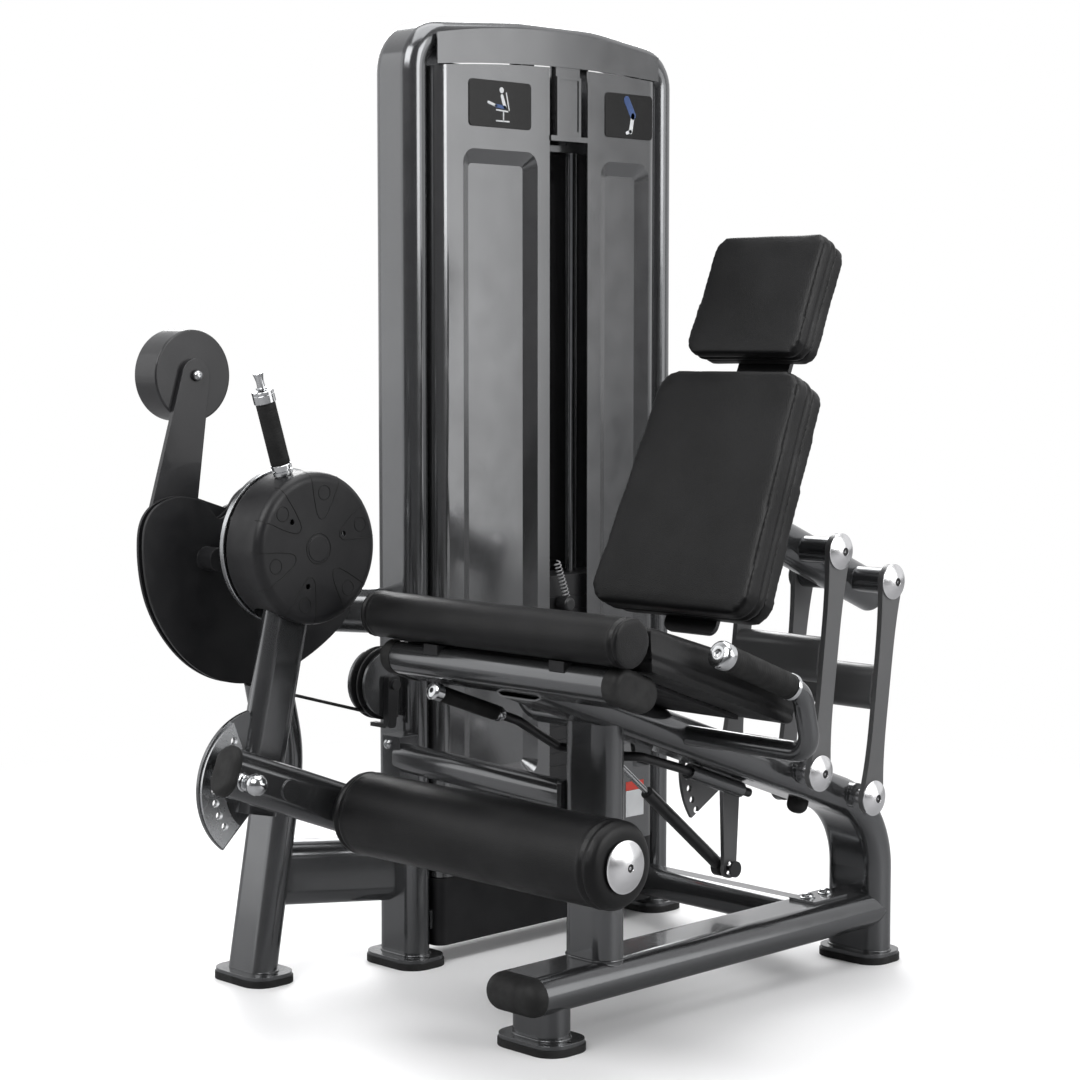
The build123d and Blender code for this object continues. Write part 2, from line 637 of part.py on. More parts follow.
def build_ties():
    """Front and rear tie tubes between the tower and the seat side frame."""
    front_z = 362.0
    with BuildPart() as tie_tubes:
        run = [(TOWER_X + 40, COLUMN_FRONT_Y - 42, front_z + 8), (-40, POST_Y, front_z)]
        add(oval_tube(run, None, 50, 40, WALL, (0, 0, 1)))
        add(box_between((TOWER_X + 12, COLUMN_FRONT_Y - 60, 300), (TOWER_X + 56, COLUMN_FRONT_Y - 20, 407)),
            mode=Mode.SUBTRACT)
        add(box_between((-58, POST_Y - 40, 330), (0, POST_Y + 40, 400)), mode=Mode.SUBTRACT)
        rear = [(TOWER_X + 40, COLUMN_REAR_Y - 60, 70), (-34, 672, BASE_Z - 2)]
        add(oval_tube(rear, None, 74, 54, WALL, (0, 1, 0)))
        add(oval_tube([(0, BASE_FRONT_Y, BASE_Z), (0, LEG_Y, BASE_Z)], None, RAIL_W, RAIL_T, 0),
            mode=Mode.SUBTRACT)
        add(box_between((SHROUD_BACK_X, SHROUD_Y0, SKIRT_Z0), (PANEL_X - 2.9, SHROUD_Y1, SKIRT_Z1)),
            mode=Mode.SUBTRACT)
        # bolted plate on the base tube
        add(box_between((-30, 628, BASE_Z + RAIL_T / 2), (26, 716, BASE_Z + RAIL_T / 2 + 5)))
    save(tie_tubes.part, "tie_tubes")


# ---------------------------------------------------------------- far post and beams
def far_post_envelope(wall=0.0):
    x = FAR_POST_X
    points = [(x, -70.6, 5), (x, -4, 380), (x, -52, 600), (x, PIVOT_Y + 10, PIVOT_Z - 20)]
    return oval_tube(points, [260, 160], COLUMN_W, COLUMN_T, wall)


def build_far_side():
    housing = (FAR_POST_X - 55, FAR_POST_X + 45)
    with BuildPart() as far_post:
        add(far_post_envelope(WALL))
        add(box_between((FAR_POST_X - 80, -200, -20), (FAR_POST_X + 80, 100, 18)), mode=Mode.SUBTRACT)
        add(bar_x(*housing, PIVOT_Y, PIVOT_Z, 40))
        add(bar_x(housing[0] - 5, housing[1] + 5, PIVOT_Y, PIVOT_Z, SHAFT_R + 0.08), mode=Mode.SUBTRACT)
    save(far_post.part, "far_post")

    with BuildPart() as tower_beams:
        front_face = COLUMN_FRONT_Y - COLUMN_T / 2
        upper = [(FAR_POST_X + 10, PIVOT_Y + 60, 640), (TOWER_X - 20, front_face + 14, 612)]
        add(oval_tube(upper, None, 78, 50, WALL, (0, 0, 1)))
        lower = [(FAR_POST_X + 10, -30, 178), (TOWER_X - 20, front_face + 14, 164)]
        add(oval_tube(lower, None, 112, 56, WALL, (0, 0, 1)))
        add(far_post_envelope(), mode=Mode.SUBTRACT)
        add(column_envelope(), mode=Mode.SUBTRACT)
        add(bar_x(housing[0] - 5, housing[1] + 5, PIVOT_Y, PIVOT_Z, 40), mode=Mode.SUBTRACT)
    save(tower_beams.part, "tower_beams")


# ---------------------------------------------------------------- cam, shaft, counterweight
def cam_outline(shrink=0.0):
    """Bean-shaped cam about the pivot: (angle, radius) points joined by a smooth curve."""
    radii = [(130, 58), (143, 70), (140, 97), (143, 123), (148, 148), (154, 170), (161, 188),
             (168, 197), (178, 199), (190, 200), (204, 204), (222, 210), (240, 219), (258, 227),
             (278, 231), (298, 233), (318, 246), (330, 252), (340, 232), (352, 198), (12, 168),
             (40, 136), (70, 102), (100, 72)]
    centre = (PIVOT_Y, PIVOT_Z)
    points = [polar(centre, radius - shrink, angle) for angle, radius in radii]
    with BuildSketch(side(0)) as outline:
        with BuildLine():
            Spline(*points, periodic=True)
        make_face()
    return outline.sketch


def build_cam():
    hole = (PIVOT_Y, PIVOT_Z)
    with BuildPart() as cam:
        for x0, x1, shrink in ((CAM_X + 4.5, CAM_X + 9.5, 0), (CAM_X - 4.5, CAM_X + 4.5, 12),
                               (CAM_X - 9.5, CAM_X - 4.5, 0)):
            layer = extrude(cam_outline(shrink).moved(Location((x0, 0, 0))), amount=x1 - x0, dir=(1, 0, 0),
                            mode=Mode.PRIVATE)
            add(layer & bar_x(x0, x1, *hole, 218) if shrink else layer)
        add(bar_x(CAM_X - 40, CAM_X + 22, *hole, 32))
        # rubber-faced stop stub
        add(bar_x(CAM_X + 9.5, CAM_X + 44, PIVOT_Y - 78, PIVOT_Z - 22, 19))
        add(bar_x(CAM_X - 60, CAM_X + 60, *hole, SHAFT_R), mode=Mode.SUBTRACT)
    save(cam.part, "cam")

    with BuildPart() as rom_disc:
        add(bar_x(FAR_POST_X - 62, ARM_X + 16, *hole, SHAFT_R))
        add(bar_x(ARM_X - 48, ARM_X - 41, *hole, 122))
        for i in range(14):
            y, z = polar(hole, 104, 8 + i * 12.5)
            add(bar_x(ARM_X - 50, ARM_X - 40, y, z, 7), mode=Mode.SUBTRACT)
    save(rom_disc.part, "rom_disc")

    cw = (PIVOT_Y + CW_DY, PIVOT_Z + CW_DZ)
    with BuildPart() as counterweight_arm:
        # flat bar from the weight down behind the cam's lobe to the hub
        bar = [(cw[0] - 26, cw[1] + 6), (cw[0] - 101, cw[1] - 246), (cw[0] - 90, cw[1] - 286),
               (PIVOT_Y, PIVOT_Z - 53), (PIVOT_Y, PIVOT_Z + 47), (cw[0] + 1, cw[1] - 195),
               (cw[0] + 27, cw[1] - 4)]
        add(plate(bar, CAM_X - 17.5, CAM_X - 9.5))
        add(bar_x(CAM_X - 17.5, CAM_X - 9.5, *cw, 27))
        add(bar_x(CAM_X - 17.5, CAM_X - 9.5, *hole, 62))
        add(bar_x(CAM_X - 20, CAM_X, *hole, 32), mode=Mode.SUBTRACT)
        add(bar_x(CAM_X - 20, CAM_X, *cw, 9.05), mode=Mode.SUBTRACT)
    save(counterweight_arm.part, "counterweight_arm")
    with BuildPart() as counterweight:
        add(bar_x(CAM_X - 75, CAM_X - 17.5, *cw, 73))
        fillet(counterweight.edges().filter_by(GeomType.CIRCLE), radius=3)
        # bolt through the arm
        add(bar_x(CAM_X - 17.5, CAM_X - 4.5, *cw, 9))
    save(counterweight.part, "counterweight")


# ---------------------------------------------------------------- movement arm and handle
SECTOR_R = 119.0
SECTOR_X = ARM_X + 6
COVER_R, COVER_FACE_X = 120.0, ARM_X + 42
COVER_HOLES = [(140, 68), (22, 55), (250, 62)]     # (angle, radius) from the pivot


def arm_point(z):
    """Point of the movement arm's centre line at height z."""
    share = (PIVOT_Z - z) / (PIVOT_Z - ANKLE_Z)
    return PIVOT_Y - 10 + (ANKLE_Y - PIVOT_Y + 10) * share, z


def grip_point(distance):
    """Point on the handle's line, at a distance from the pivot."""
    a = math.radians(GRIP_TILT)
    return (ARM_X, PIVOT_Y - distance * math.sin(a), PIVOT_Z + distance * math.cos(a))


def build_arm():
    hole = (PIVOT_Y, PIVOT_Z)
    ankle = (ANKLE_Y, ANKLE_Z)
    low = arm_point(ANKLE_Z - 46)
    with BuildPart() as movement_arm:
        across = (0, 1, -(low[0] - hole[0]) / (low[1] - hole[1]))
        run = [(ARM_X, *arm_point(PIVOT_Z - 30)), (ARM_X, *low)]
        add(oval_tube(run, None, 80, 40, WALL, across))
        add(bar_x(ARM_X - 20, ARM_X + 20, *hole, 46))
        add(bar_x(ARM_X - 24, ARM_X + 24, *hole, SHAFT_R + 0.08), mode=Mode.SUBTRACT)
        # index plate in front of the arm, centred on the ankle pivot
        with BuildPart(mode=Mode.PRIVATE) as sector:
            with BuildSketch(side(SECTOR_X - 6)):
                with BuildLine():
                    a, b = polar(ankle, SECTOR_R, 100), polar(ankle, SECTOR_R, 232)
                    ThreePointArc(a, polar(ankle, SECTOR_R, 166), b)
                    Polyline(b, polar(ankle, 40, 250), polar(ankle, 30, 60), a)
                make_face()
            extrude(amount=6)
        add(sector.part)
        add(bar_x(ARM_X - 24, ARM_X + 20, *ankle, 25))
        add(bar_x(ARM_X - 30, ARM_X + 30, *ankle, 12.58), mode=Mode.SUBTRACT)
        for i in range(8):
            y, z = polar(ankle, 92, 126 + i * 13)
            add(bar_x(SECTOR_X - 8, SECTOR_X + 1, y, z, 6.5), mode=Mode.SUBTRACT)
    save(movement_arm.part, "movement_arm")

    with BuildPart() as index_sector:
        with BuildSketch(side(SECTOR_X)):
            with BuildLine():
                a, b = polar(ankle, SECTOR_R - 3, 118), polar(ankle, SECTOR_R - 1, 229)
                c, d = polar(ankle, 74, 232), polar(ankle, 72, 122)
                ThreePointArc(a, polar(ankle, SECTOR_R - 2, 172), b)
                Line(b, c)
                ThreePointArc(c, polar(ankle, 72, 177), d)
                Line(d, a)
            make_face()
        extrude(amount=6)
        for i in range(8):
            y, z = polar(ankle, 92, 126 + i * 13)
            add(bar_x(SECTOR_X - 1, SECTOR_X + 7, y, z, 6.5), mode=Mode.SUBTRACT)
    save(index_sector.part, "index_sector")

    with BuildPart() as pivot_cover:
        add(bar_x(ARM_X - 36, COVER_FACE_X, *hole, COVER_R))
        fillet(pivot_cover.edges().filter_by(GeomType.CIRCLE).sort_by(Axis.X)[-1], radius=15)
        add(bar_x(COVER_FACE_X, COVER_FACE_X + 1.2, *hole, 20))
        add(bar_x(ARM_X - 40, ARM_X + 16, *hole, COVER_R - 4), mode=Mode.SUBTRACT)
        add(bar_x(ARM_X + 16, COVER_FACE_X - 4, *hole, COVER_R - 17), mode=Mode.SUBTRACT)
        for angle, radius in COVER_HOLES:
            add(bar_x(COVER_FACE_X - 5, COVER_FACE_X + 1, *polar(hole, radius, angle), 4.5), mode=Mode.SUBTRACT)
        lower = arm_point(ANKLE_Z)
        with BuildPart(mode=Mode.PRIVATE) as gap:
            run = [(ARM_X - 8, *arm_point(PIVOT_Z - 60)), (ARM_X - 8, *lower)]
            across = (0, 1, -(low[0] - hole[0]) / (low[1] - hole[1]))
            add(oval_tube(run, None, 92, 76, 0, across))
        add(gap.part, mode=Mode.SUBTRACT)
        add(round_tube([grip_point(60), grip_point(200)], None, 13), mode=Mode.SUBTRACT)
    save(pivot_cover.part, "pivot_cover")

    with BuildPart() as rom_handle:
        add(round_tube([grip_point(46.5), grip_point(122)], None, 12, 6.1))
        add(round_tube([grip_point(122), grip_point(138)], None, 16.5, 6.1))
        add(round_tube([grip_point(238), grip_point(258)], None, 17.5, 6.1))
        add(round_tube([grip_point(138), grip_point(238)], None, 10, 6.1))
    save(rom_handle.part, "rom_handle")
    save(round_tube([grip_point(138), grip_point(238)], None, 15.5, 10), "rom_grip")
    with BuildPart() as rom_plunger:
        add(round_tube([grip_point(60), grip_point(258.3)], None, 6))
        add(round_tube([grip_point(258.3), grip_point(274)], None, 9.5))
        add(round_tube([grip_point(274), grip_point(286)], None, 5.5))
    save(rom_plunger.part, "rom_plunger")


# ---------------------------------------------------------------- ankle arm and roller
def build_ankle():
    ankle = (ANKLE_Y, ANKLE_Z)
    dy, dz = ROLLER_Y - ANKLE_Y, ROLLER_Z - ANKLE_Z
    length = math.hypot(dy, dz)
    tilt = math.degrees(math.atan2(dz, dy))
    front = polar(ankle, -106, tilt)
    rear = polar(ankle, length + 34, tilt)
    across = (0, -dz / length, dy / length)
    with BuildPart() as ankle_arm:
        run = [(ANKLE_X, *front), (ANKLE_X, *rear)]
        add(oval_tube(run, None, 76, 48, 0, across))
        add(bar_x(ARM_X - 30, ANKLE_X, *ankle, 12.5))
        add(bar_x(ARM_X - 36, ARM_X - 28, *ankle, 20))
        add(bar_x(ANKLE_X + 24, ANKLE_X + 27, *ankle, 17))
        add(bar_x(ANKLE_X, ROLLER_HALF + 2, ROLLER_Y, ROLLER_Z, 12.5))
        pin_y, pin_z = polar(ankle, 92, 126 + 3 * 13)
        add(bar_x(ANKLE_X + 20, ANKLE_X + 33, pin_y, pin_z, 11))
        add(bar_x(ANKLE_X - 30, ANKLE_X + 40, pin_y, pin_z, 6.08), mode=Mode.SUBTRACT)
    save(ankle_arm.part, "ankle_arm")
    with BuildPart() as ankle_arm_cap:
        add(oval_tube([(ANKLE_X, *polar(ankle, -120, tilt)), (ANKLE_X, *front)], None, 80, 52, 0, across))
        end = ankle_arm_cap.faces().filter_by(GeomType.PLANE).sort_by(Axis.Y)[0]
        fillet(end.edges(), radius=10)
    save(ankle_arm_cap.part, "ankle_arm_cap")
    with BuildPart() as ankle_pull_pin:
        pin_y, pin_z = polar(ankle, 92, 126 + 3 * 13)
        # drawn pulled out, its tip just clear of the index plate
        add(bar_x(SECTOR_X + 6.3, ANKLE_X + 45, pin_y, pin_z, 6))
        with Locations((ANKLE_X + 54.5, pin_y, pin_z)):
            Sphere(17)
    save(ankle_pull_pin.part, "ankle_pull_pin")
    with BuildPart() as shin_roller:
        add(bar_x(-ROLLER_HALF, ROLLER_HALF, ROLLER_Y, ROLLER_Z, ROLLER_R, 12.58))
        fillet(shin_roller.edges().filter_by(GeomType.CIRCLE).group_by(Axis.X)[-1].sort_by(SortBy.RADIUS)[-1],
               radius=20)
        fillet(shin_roller.edges().filter_by(GeomType.CIRCLE).group_by(Axis.X)[0].sort_by(SortBy.RADIUS)[-1],
               radius=20)
    save(shin_roller.part, "shin_roller")
    with BuildPart() as roller_end_cap:
        add(domed_cap(ROLLER_HALF, ROLLER_Y, ROLLER_Z, 38, 12, 1, 5))
        add(bar_x(ROLLER_HALF - 1, ROLLER_HALF + 3, ROLLER_Y, ROLLER_Z, 13), mode=Mode.SUBTRACT)
    save(roller_end_cap.part, "roller_end_cap")


# ---------------------------------------------------------------- pulleys and cable
def pulley(y, z, width=20.0):
    half = width / 2
    with BuildPart() as wheel:
        with BuildSketch(Plane(origin=(TOWER_X, y, z), x_dir=(1, 0, 0), z_dir=(0, -1, 0))):
            with BuildLine():
                Polyline((-half, 5.08), (half, 5.08), (half, PULLEY_R), (half - 3, PULLEY_R),
                         (3.6, GROOVE_R - CABLE_R), (-3.6, GROOVE_R - CABLE_R),
                         (-half + 3, PULLEY_R), (-half, PULLEY_R), close=True)
            make_face()
        revolve(axis=Axis((TOWER_X, y, z), (1, 0, 0)))
    return wheel.part


def build_cable():
    save(pulley(PULLEY_Y, PULLEY_Z), "lower_pulley")
    front_y, rear_y = top_pulley_ys()
    save(pulley(front_y, TOP_PULLEY_Z), "top_pulley_front")
    save(pulley(rear_y, TOP_PULLEY_Z), "top_pulley_rear")

    with BuildPart() as cable_guard:
        add(plate([(PULLEY_Y - 13, PULLEY_Z + 14), (PULLEY_Y + 13, PULLEY_Z + 14),
                   (PULLEY_Y + 3, PULLEY_Z - 74), (PULLEY_Y - 15, PULLEY_Z - 74)],
                  TOWER_X + 22, TOWER_X + 34, 6))
        add(box_between((TOWER_X - 12, PULLEY_Y - 15, PULLEY_Z - 74),
                        (TOWER_X + 24, PULLEY_Y - 3, PULLEY_Z - 67)))
        add(bar_x(TOWER_X + 34, TOWER_X + 40, PULLEY_Y, PULLEY_Z, 9))
    save(cable_guard.part, "cable_guard")

    # run from the cam, round the lower pulley, up the column and over the top pulleys
    start = (TOWER_X, PIVOT_Y + 4, PIVOT_Z - 232)
    run_angle = math.degrees(math.atan2(PULLEY_Z - GROOVE_R - start[2], PULLEY_Y - 20 - start[1]))
    touch = polar((PULLEY_Y, PULLEY_Z), GROOVE_R, run_angle - 90)
    up_y = PULLEY_Y + GROOVE_R
    top_z = TOP_PULLEY_Z + GROOVE_R
    with BuildPart() as drive_cable:
        with BuildLine() as path:
            Line(start, (TOWER_X, *touch))
            mid = polar((PULLEY_Y, PULLEY_Z), GROOVE_R, (run_angle - 90) / 2)
            ThreePointArc((TOWER_X, *touch), (TOWER_X, *mid), (TOWER_X, up_y, PULLEY_Z))
            Line((TOWER_X, up_y, PULLEY_Z), (TOWER_X, up_y, TOP_PULLEY_Z))
            rise = polar((front_y, TOP_PULLEY_Z), GROOVE_R, 135)
            ThreePointArc((TOWER_X, up_y, TOP_PULLEY_Z), (TOWER_X, *rise), (TOWER_X, front_y, top_z))
            Line((TOWER_X, front_y, top_z), (TOWER_X, rear_y, top_z))
            fall = polar((rear_y, TOP_PULLEY_Z), GROOVE_R, 45)
            ThreePointArc((TOWER_X, rear_y, top_z), (TOWER_X, *fall), (TOWER_X, rear_y + GROOVE_R, TOP_PULLEY_Z))
        with BuildSketch(Plane(origin=path.line @ 0, z_dir=path.line % 0)):
            Circle(CABLE_R - 0.2)
        sweep(path=path.line)
    save(drive_cable.part, "drive_cable")

    stem_top = PIN_Z - PLATE_T / 2 + PLATE_PITCH + 38 + 26
    with BuildPart() as stack_cable:
        with BuildSketch(Plane.XY.offset(stem_top)):
            with Locations((TOWER_X, STACK_Y)):
                Circle(CABLE_R - 0.2)
        extrude(amount=TOP_PULLEY_Z - 0.4 - stem_top)
    save(stack_cable.part, "stack_cable")

    with BuildPart() as pin_lanyard:
        x = TOWER_X + PLATE_X / 2 + 17
        low, top = (x, STACK_Y - 3, PIN_Z + 15), (x, STACK_Y - 16, PIN_Z + 74)
        add(round_tube([low, top], None, 7))
    save(pin_lanyard.part, "pin_lanyard")


# ---------------------------------------------------------------- backrest linkage
def link_top(low):
    a = math.radians(LINK_LEAN)
    return (low[0] + LINK_LEN * math.sin(a), low[1] + LINK_LEN * math.cos(a))


def link_bar(low, x0, x1):
    """Flat bar with round ends, wider at its pivots."""
    top = link_top(low)
    along = 90 - LINK_LEAN
    with BuildPart() as bar:
        with BuildSketch(side(x0)):
            with BuildLine():
                left = [polar(polar(low, d, along), w, along + 90) for d, w in
                        ((8, 27), (60, 20), (LINK_LEN / 2, 18), (LINK_LEN - 60, 21), (LINK_LEN - 8, 27))]
                right = [polar(polar(low, d, along), -w, along + 90) for d, w in
                         ((8, 27), (60, 20), (LINK_LEN / 2, 18), (LINK_LEN - 60, 21), (LINK_LEN - 8, 27))]
                Spline(*left)
                ThreePointArc(left[-1], polar(top, 29, along), right[-1])
                Spline(*right)
                ThreePointArc(right[0], polar(low, -29, along), left[0])
            make_face()
        extrude(amount=x1 - x0)
    return bar.part


def build_link(low, name):
    top = link_top(low)
    along = 90 - LINK_LEAN
    centre = polar(low, 186, along)
    a = math.radians(along)
    with BuildPart() as link:
        for x0 in (-LINK_X - 5, LINK_X - 5):
            add(link_bar(low, x0, x0 + 10))
        run = [(-LINK_X + 5, *centre), (LINK_X - 5, *centre)]
        add(oval_tube(run, None, 76, 42, WALL, (0, math.cos(a), math.sin(a))))
        if name == "front_link":
            # crank that hangs from the far bar, and the index plate beside the rail
            add(plate([(low[0] - 24, low[1]), (low[0] + 24, low[1]), (CRANK_PIN[0] + 15, CRANK_PIN[1] - 6),
                       (CRANK_PIN[0] - 15, CRANK_PIN[1] - 6)], -LINK_X - 5, -LINK_X + 3))
            add(bar_x(-LINK_X - 5, -LINK_X + 3, *CRANK_PIN, 17))
            with BuildPart(mode=Mode.PRIVATE) as index_plate:
                with BuildSketch(side(-LINK_X + 9)):
                    with BuildLine():
                        a1, a2 = polar(low, 142, 170), polar(low, 142, 216)
                        ThreePointArc(a1, polar(low, 142, 193), a2)
                        Polyline(a2, polar(low, 40, 235), polar(low, 24, 100), a1)
                    make_face()
                extrude(amount=6)
            add(index_plate.part)
            add(bar_x(-LINK_X + 3, -LINK_X + 15, *low, 24))
            for i in range(5):
                y, z = polar(low, 125.7, 176 + i * 9.6)
                add(bar_x(-LINK_X + 5, -LINK_X + 20, y, z, 6), mode=Mode.SUBTRACT)
            add(bar_x(-LINK_X - 8, -LINK_X + 5, *CRANK_PIN, 12), mode=Mode.SUBTRACT)
        for y, z in (low, top):
            add(bar_x(-LINK_X - 20, LINK_X + 20, y, z, 12.58), mode=Mode.SUBTRACT)
    save(link.part, name)


def build_linkage():
    low_front = LINK_LF
    low_rear = (LINK_LF[0] + LINK_SPACING[0], LINK_LF[1] + LINK_SPACING[1])
    build_link(low_front, "front_link")
    build_link(low_rear, "rear_link")
    for name, lows, middle in (("lower_pivot_pins", (low_front, low_rear), 0),
                               ("upper_pivot_pins", (link_top(low_front), link_top(low_rear)), 1)):
        with BuildPart() as pins:
            for y, z in lows:
                add(bar_x(-LINK_X - 6, LINK_X + 6, y, z, 12.5))
                add(domed_cap(LINK_X + 6, y, z, 30, 11, 1, 6))
                add(domed_cap(-LINK_X - 6, y, z, 30, 11, -1, 6))
        save(pins.part, name)


# ---------------------------------------------------------------- backrest
def back_plane(up, back):
    """Plane of the backrest, 'up' along its front face and 'back' behind it."""
    a = math.radians(BACK_LEAN)
    u = (0, math.sin(a), math.cos(a))
    n = (0, -math.cos(a), math.sin(a))
    origin = (0, BACK_Y + up * u[1] - back * n[1], BACK_Z + up * u[2] - back * n[2])
    return Plane(origin=origin, x_dir=(1, 0, 0), z_dir=n)


def pad_block(up, height, half_low, half_top, front, back, corner):
    with BuildPart() as pad:
        with BuildSketch(back_plane(up, front)) as face:
            with BuildLine():
                Polyline((-half_low, 0), (half_low, 0), (half_top, height), (-half_top, height), close=True)
            make_face()
            fillet(face.vertices(), radius=corner)
        extrude(amount=front - back)
    return pad.part


def build_backrest():
    save(pad_block(0, BACK_H, BACK_HALF_LOW, BACK_HALF_TOP, 0, 45, 38), "backrest_pad")
    save(pad_block(446, 206, 117, 113, 6, 40, 26), "headrest_pad")
    with BuildPart() as back_shells:
        add(pad_block(2, BACK_H - 4, BACK_HALF_LOW - 2, BACK_HALF_TOP - 2, 46, 72, 36))
        add(pad_block(448, 202, 115, 111, 41, 64, 24))
    save(back_shells.part, "back_shells")

    low_front = LINK_LF
    top_front = link_top(low_front)
    slope = LINK_SPACING[1] / LINK_SPACING[0]
    a = math.atan(slope)

    def centre(y):
        return (0, y, top_front[1] + slope * (y - top_front[0]))

    with BuildPart() as carrier_beam:
        across = (0, -math.sin(a), math.cos(a))
        add(oval_tube([centre(400), centre(816)], None, 70, 60, 0, across))
        for y in (top_front[0], top_front[0] + LINK_SPACING[0]):
            add(bar_x(-LINK_X + 6, LINK_X - 6, *centre(y)[1:], 22))
        for y in (top_front[0], top_front[0] + LINK_SPACING[0]):
            add(bar_x(-LINK_X, LINK_X, *centre(y)[1:], 12.5), mode=Mode.SUBTRACT)
        with BuildPart(mode=Mode.PRIVATE) as ahead:
            with BuildSketch(back_plane(0, 81)):
                Rectangle(900, 1800)
            extrude(amount=300)
        add(ahead.part, mode=Mode.SUBTRACT)
        # rounded rear end
        tail = carrier_beam.faces().filter_by(GeomType.PLANE).sort_by(Axis.Y)[-1]
        fillet(tail.edges(), radius=12)
    save(carrier_beam.part, "carrier_beam")

    with BuildPart() as backrest_spine:
        with BuildSketch(back_plane(-14, 73)) as strip:
            with Locations((0, 300)):
                Rectangle(110, 600)
            fillet(strip.vertices(), radius=16)
        extrude(amount=-8)
        with BuildSketch(back_plane(452, 65)):
            with Locations((0, 70)):
                RectangleRounded(90, 130, 10)
        extrude(amount=-8)
    save(backrest_spine.part, "backrest_spine")


# ---------------------------------------------------------------- gas spring
def build_gas_spring():
    dy, dz = CRANK_PIN[0] - SPRING_EYE[0], CRANK_PIN[1] - SPRING_EYE[1]
    length = math.hypot(dy, dz)
    along = math.degrees(math.atan2(dz, dy))
    eye = (SPRING_EYE[0], SPRING_EYE[1])

    def at(distance):
        return (SPRING_X, *polar(eye, distance, along))

    with BuildPart() as spring_rod:
        add(bar_x(SPRING_X - 7, SPRING_X + 7, *eye, 12))
        add(round_tube([at(8), at(length - 150)], None, 5))
        add(bar_x(SPRING_X - 8, SPRING_X + 8, *eye, 5.08), mode=Mode.SUBTRACT)
    save(spring_rod.part, "spring_rod")
    with BuildPart() as spring_cylinder:
        add(round_tube([at(length - 240), at(length - 14)], None, 11))
        add(bar_x(SPRING_X - 8, SPRING_X + 6, *CRANK_PIN, 16))
        add(bar_x(SPRING_X + 6, -LINK_X + 12, *CRANK_PIN, 5))
        add(bar_x(-LINK_X + 12, -LINK_X + 16, *CRANK_PIN, 14))
        add(round_tube([at(length - 250), at(length - 30)], None, 5.06), mode=Mode.SUBTRACT)
    save(spring_cylinder.part, "spring_cylinder")


# ---------------------------------------------------------------- fasteners
def build_fasteners():
    with BuildPart() as frame_bolts:
        # two domed bolts on the base tube's flange plate
        for y in (648, 696):
            with BuildSketch(Plane(origin=(-6, y, BASE_Z + RAIL_T / 2 + 5))):
                Circle(13)
            extrude(amount=9)
        # button head on the tower bracket
        with BuildSketch(Plane(origin=(TOWER_X + 26, COLUMN_FRONT_Y - 60, 392), x_dir=(1, 0, 0),
                               z_dir=(0, -1, 0))):
            Circle(9)
        extrude(amount=6)
    save(frame_bolts.part, "frame_bolts")


build_seat_frame()
build_release_lever()
build_seat()
build_handles()
build_feet()
build_tower_frame()
build_tower_covers()
build_stack()
build_ties()
build_far_side()
build_cam()
build_arm()
build_ankle()
build_cable()
build_linkage()
build_backrest()
build_gas_spring()
build_fasteners()
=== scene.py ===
"""Looks of the leg extension machine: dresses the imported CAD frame, draws soft and turned pieces."""
import json
import math

import bmesh
import bpy
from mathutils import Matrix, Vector, noise


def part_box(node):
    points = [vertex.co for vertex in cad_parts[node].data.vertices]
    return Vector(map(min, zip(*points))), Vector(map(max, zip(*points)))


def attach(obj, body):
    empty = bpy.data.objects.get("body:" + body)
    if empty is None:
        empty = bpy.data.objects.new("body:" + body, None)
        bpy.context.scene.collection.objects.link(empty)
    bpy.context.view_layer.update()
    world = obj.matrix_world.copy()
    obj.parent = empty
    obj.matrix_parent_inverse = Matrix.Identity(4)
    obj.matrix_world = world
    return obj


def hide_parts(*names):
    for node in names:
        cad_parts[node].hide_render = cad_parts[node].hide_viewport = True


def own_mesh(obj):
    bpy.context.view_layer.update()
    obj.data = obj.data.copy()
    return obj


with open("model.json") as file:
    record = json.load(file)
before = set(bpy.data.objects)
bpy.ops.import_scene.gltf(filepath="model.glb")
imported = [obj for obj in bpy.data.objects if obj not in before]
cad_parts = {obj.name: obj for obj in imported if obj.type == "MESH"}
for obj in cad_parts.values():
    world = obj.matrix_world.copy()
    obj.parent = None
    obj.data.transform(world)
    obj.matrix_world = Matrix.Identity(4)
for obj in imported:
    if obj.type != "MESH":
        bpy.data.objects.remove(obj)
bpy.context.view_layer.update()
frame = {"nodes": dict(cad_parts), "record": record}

MM = 0.001
SHIFT = Vector((182.25, -245.75, 0.0))      # layout frame of the CAD source to the row frame, mm

# Layout millimetres, as in the CAD source
MAIN_PIVOT = (-156.0, 753.0)                # y, z of the shaft that the cam and the movement arm turn on
COVER_FACE_X = -336.0                       # outer face of the round cover on the movement arm
COVER_FLAT, COVER_ROUND = 105.0, 15.0       # radius of the cover's flat face, radius of its rounded rim
PLACARD_FACE_X = -470.25                    # just in front of the placards
PANEL_FACE_X = -471.6                       # the panel under the warning label
LABEL_Y, LABEL_Z = 712.0, 226.0             # middle of the warning label
RAIL_SLOPE = -0.364                         # rise per length in y of rail, seat and release lever
HANDLE_X, HANDLE_SLOPE = 305.0, -0.395      # the two side handles
ARM_LEAN = math.radians(17.0)               # lean of the start handle at rest
CAP_RADIUS, CAP_HEIGHT = 30.0, 11.0         # domed caps on the backrest's pivots
RIB_PITCH, RIB_DEPTH = 4.0, 0.25            # ribs on every grip


def at(x, y, z):
    """Row-frame point in metres from a layout point in millimetres."""
    return (Vector((x, y, z)) + SHIFT) * MM


# Sockets of a colour Mix node
MIX_FACTOR, MIX_FIRST, MIX_SECOND, MIX_RESULT = 0, 6, 7, 2


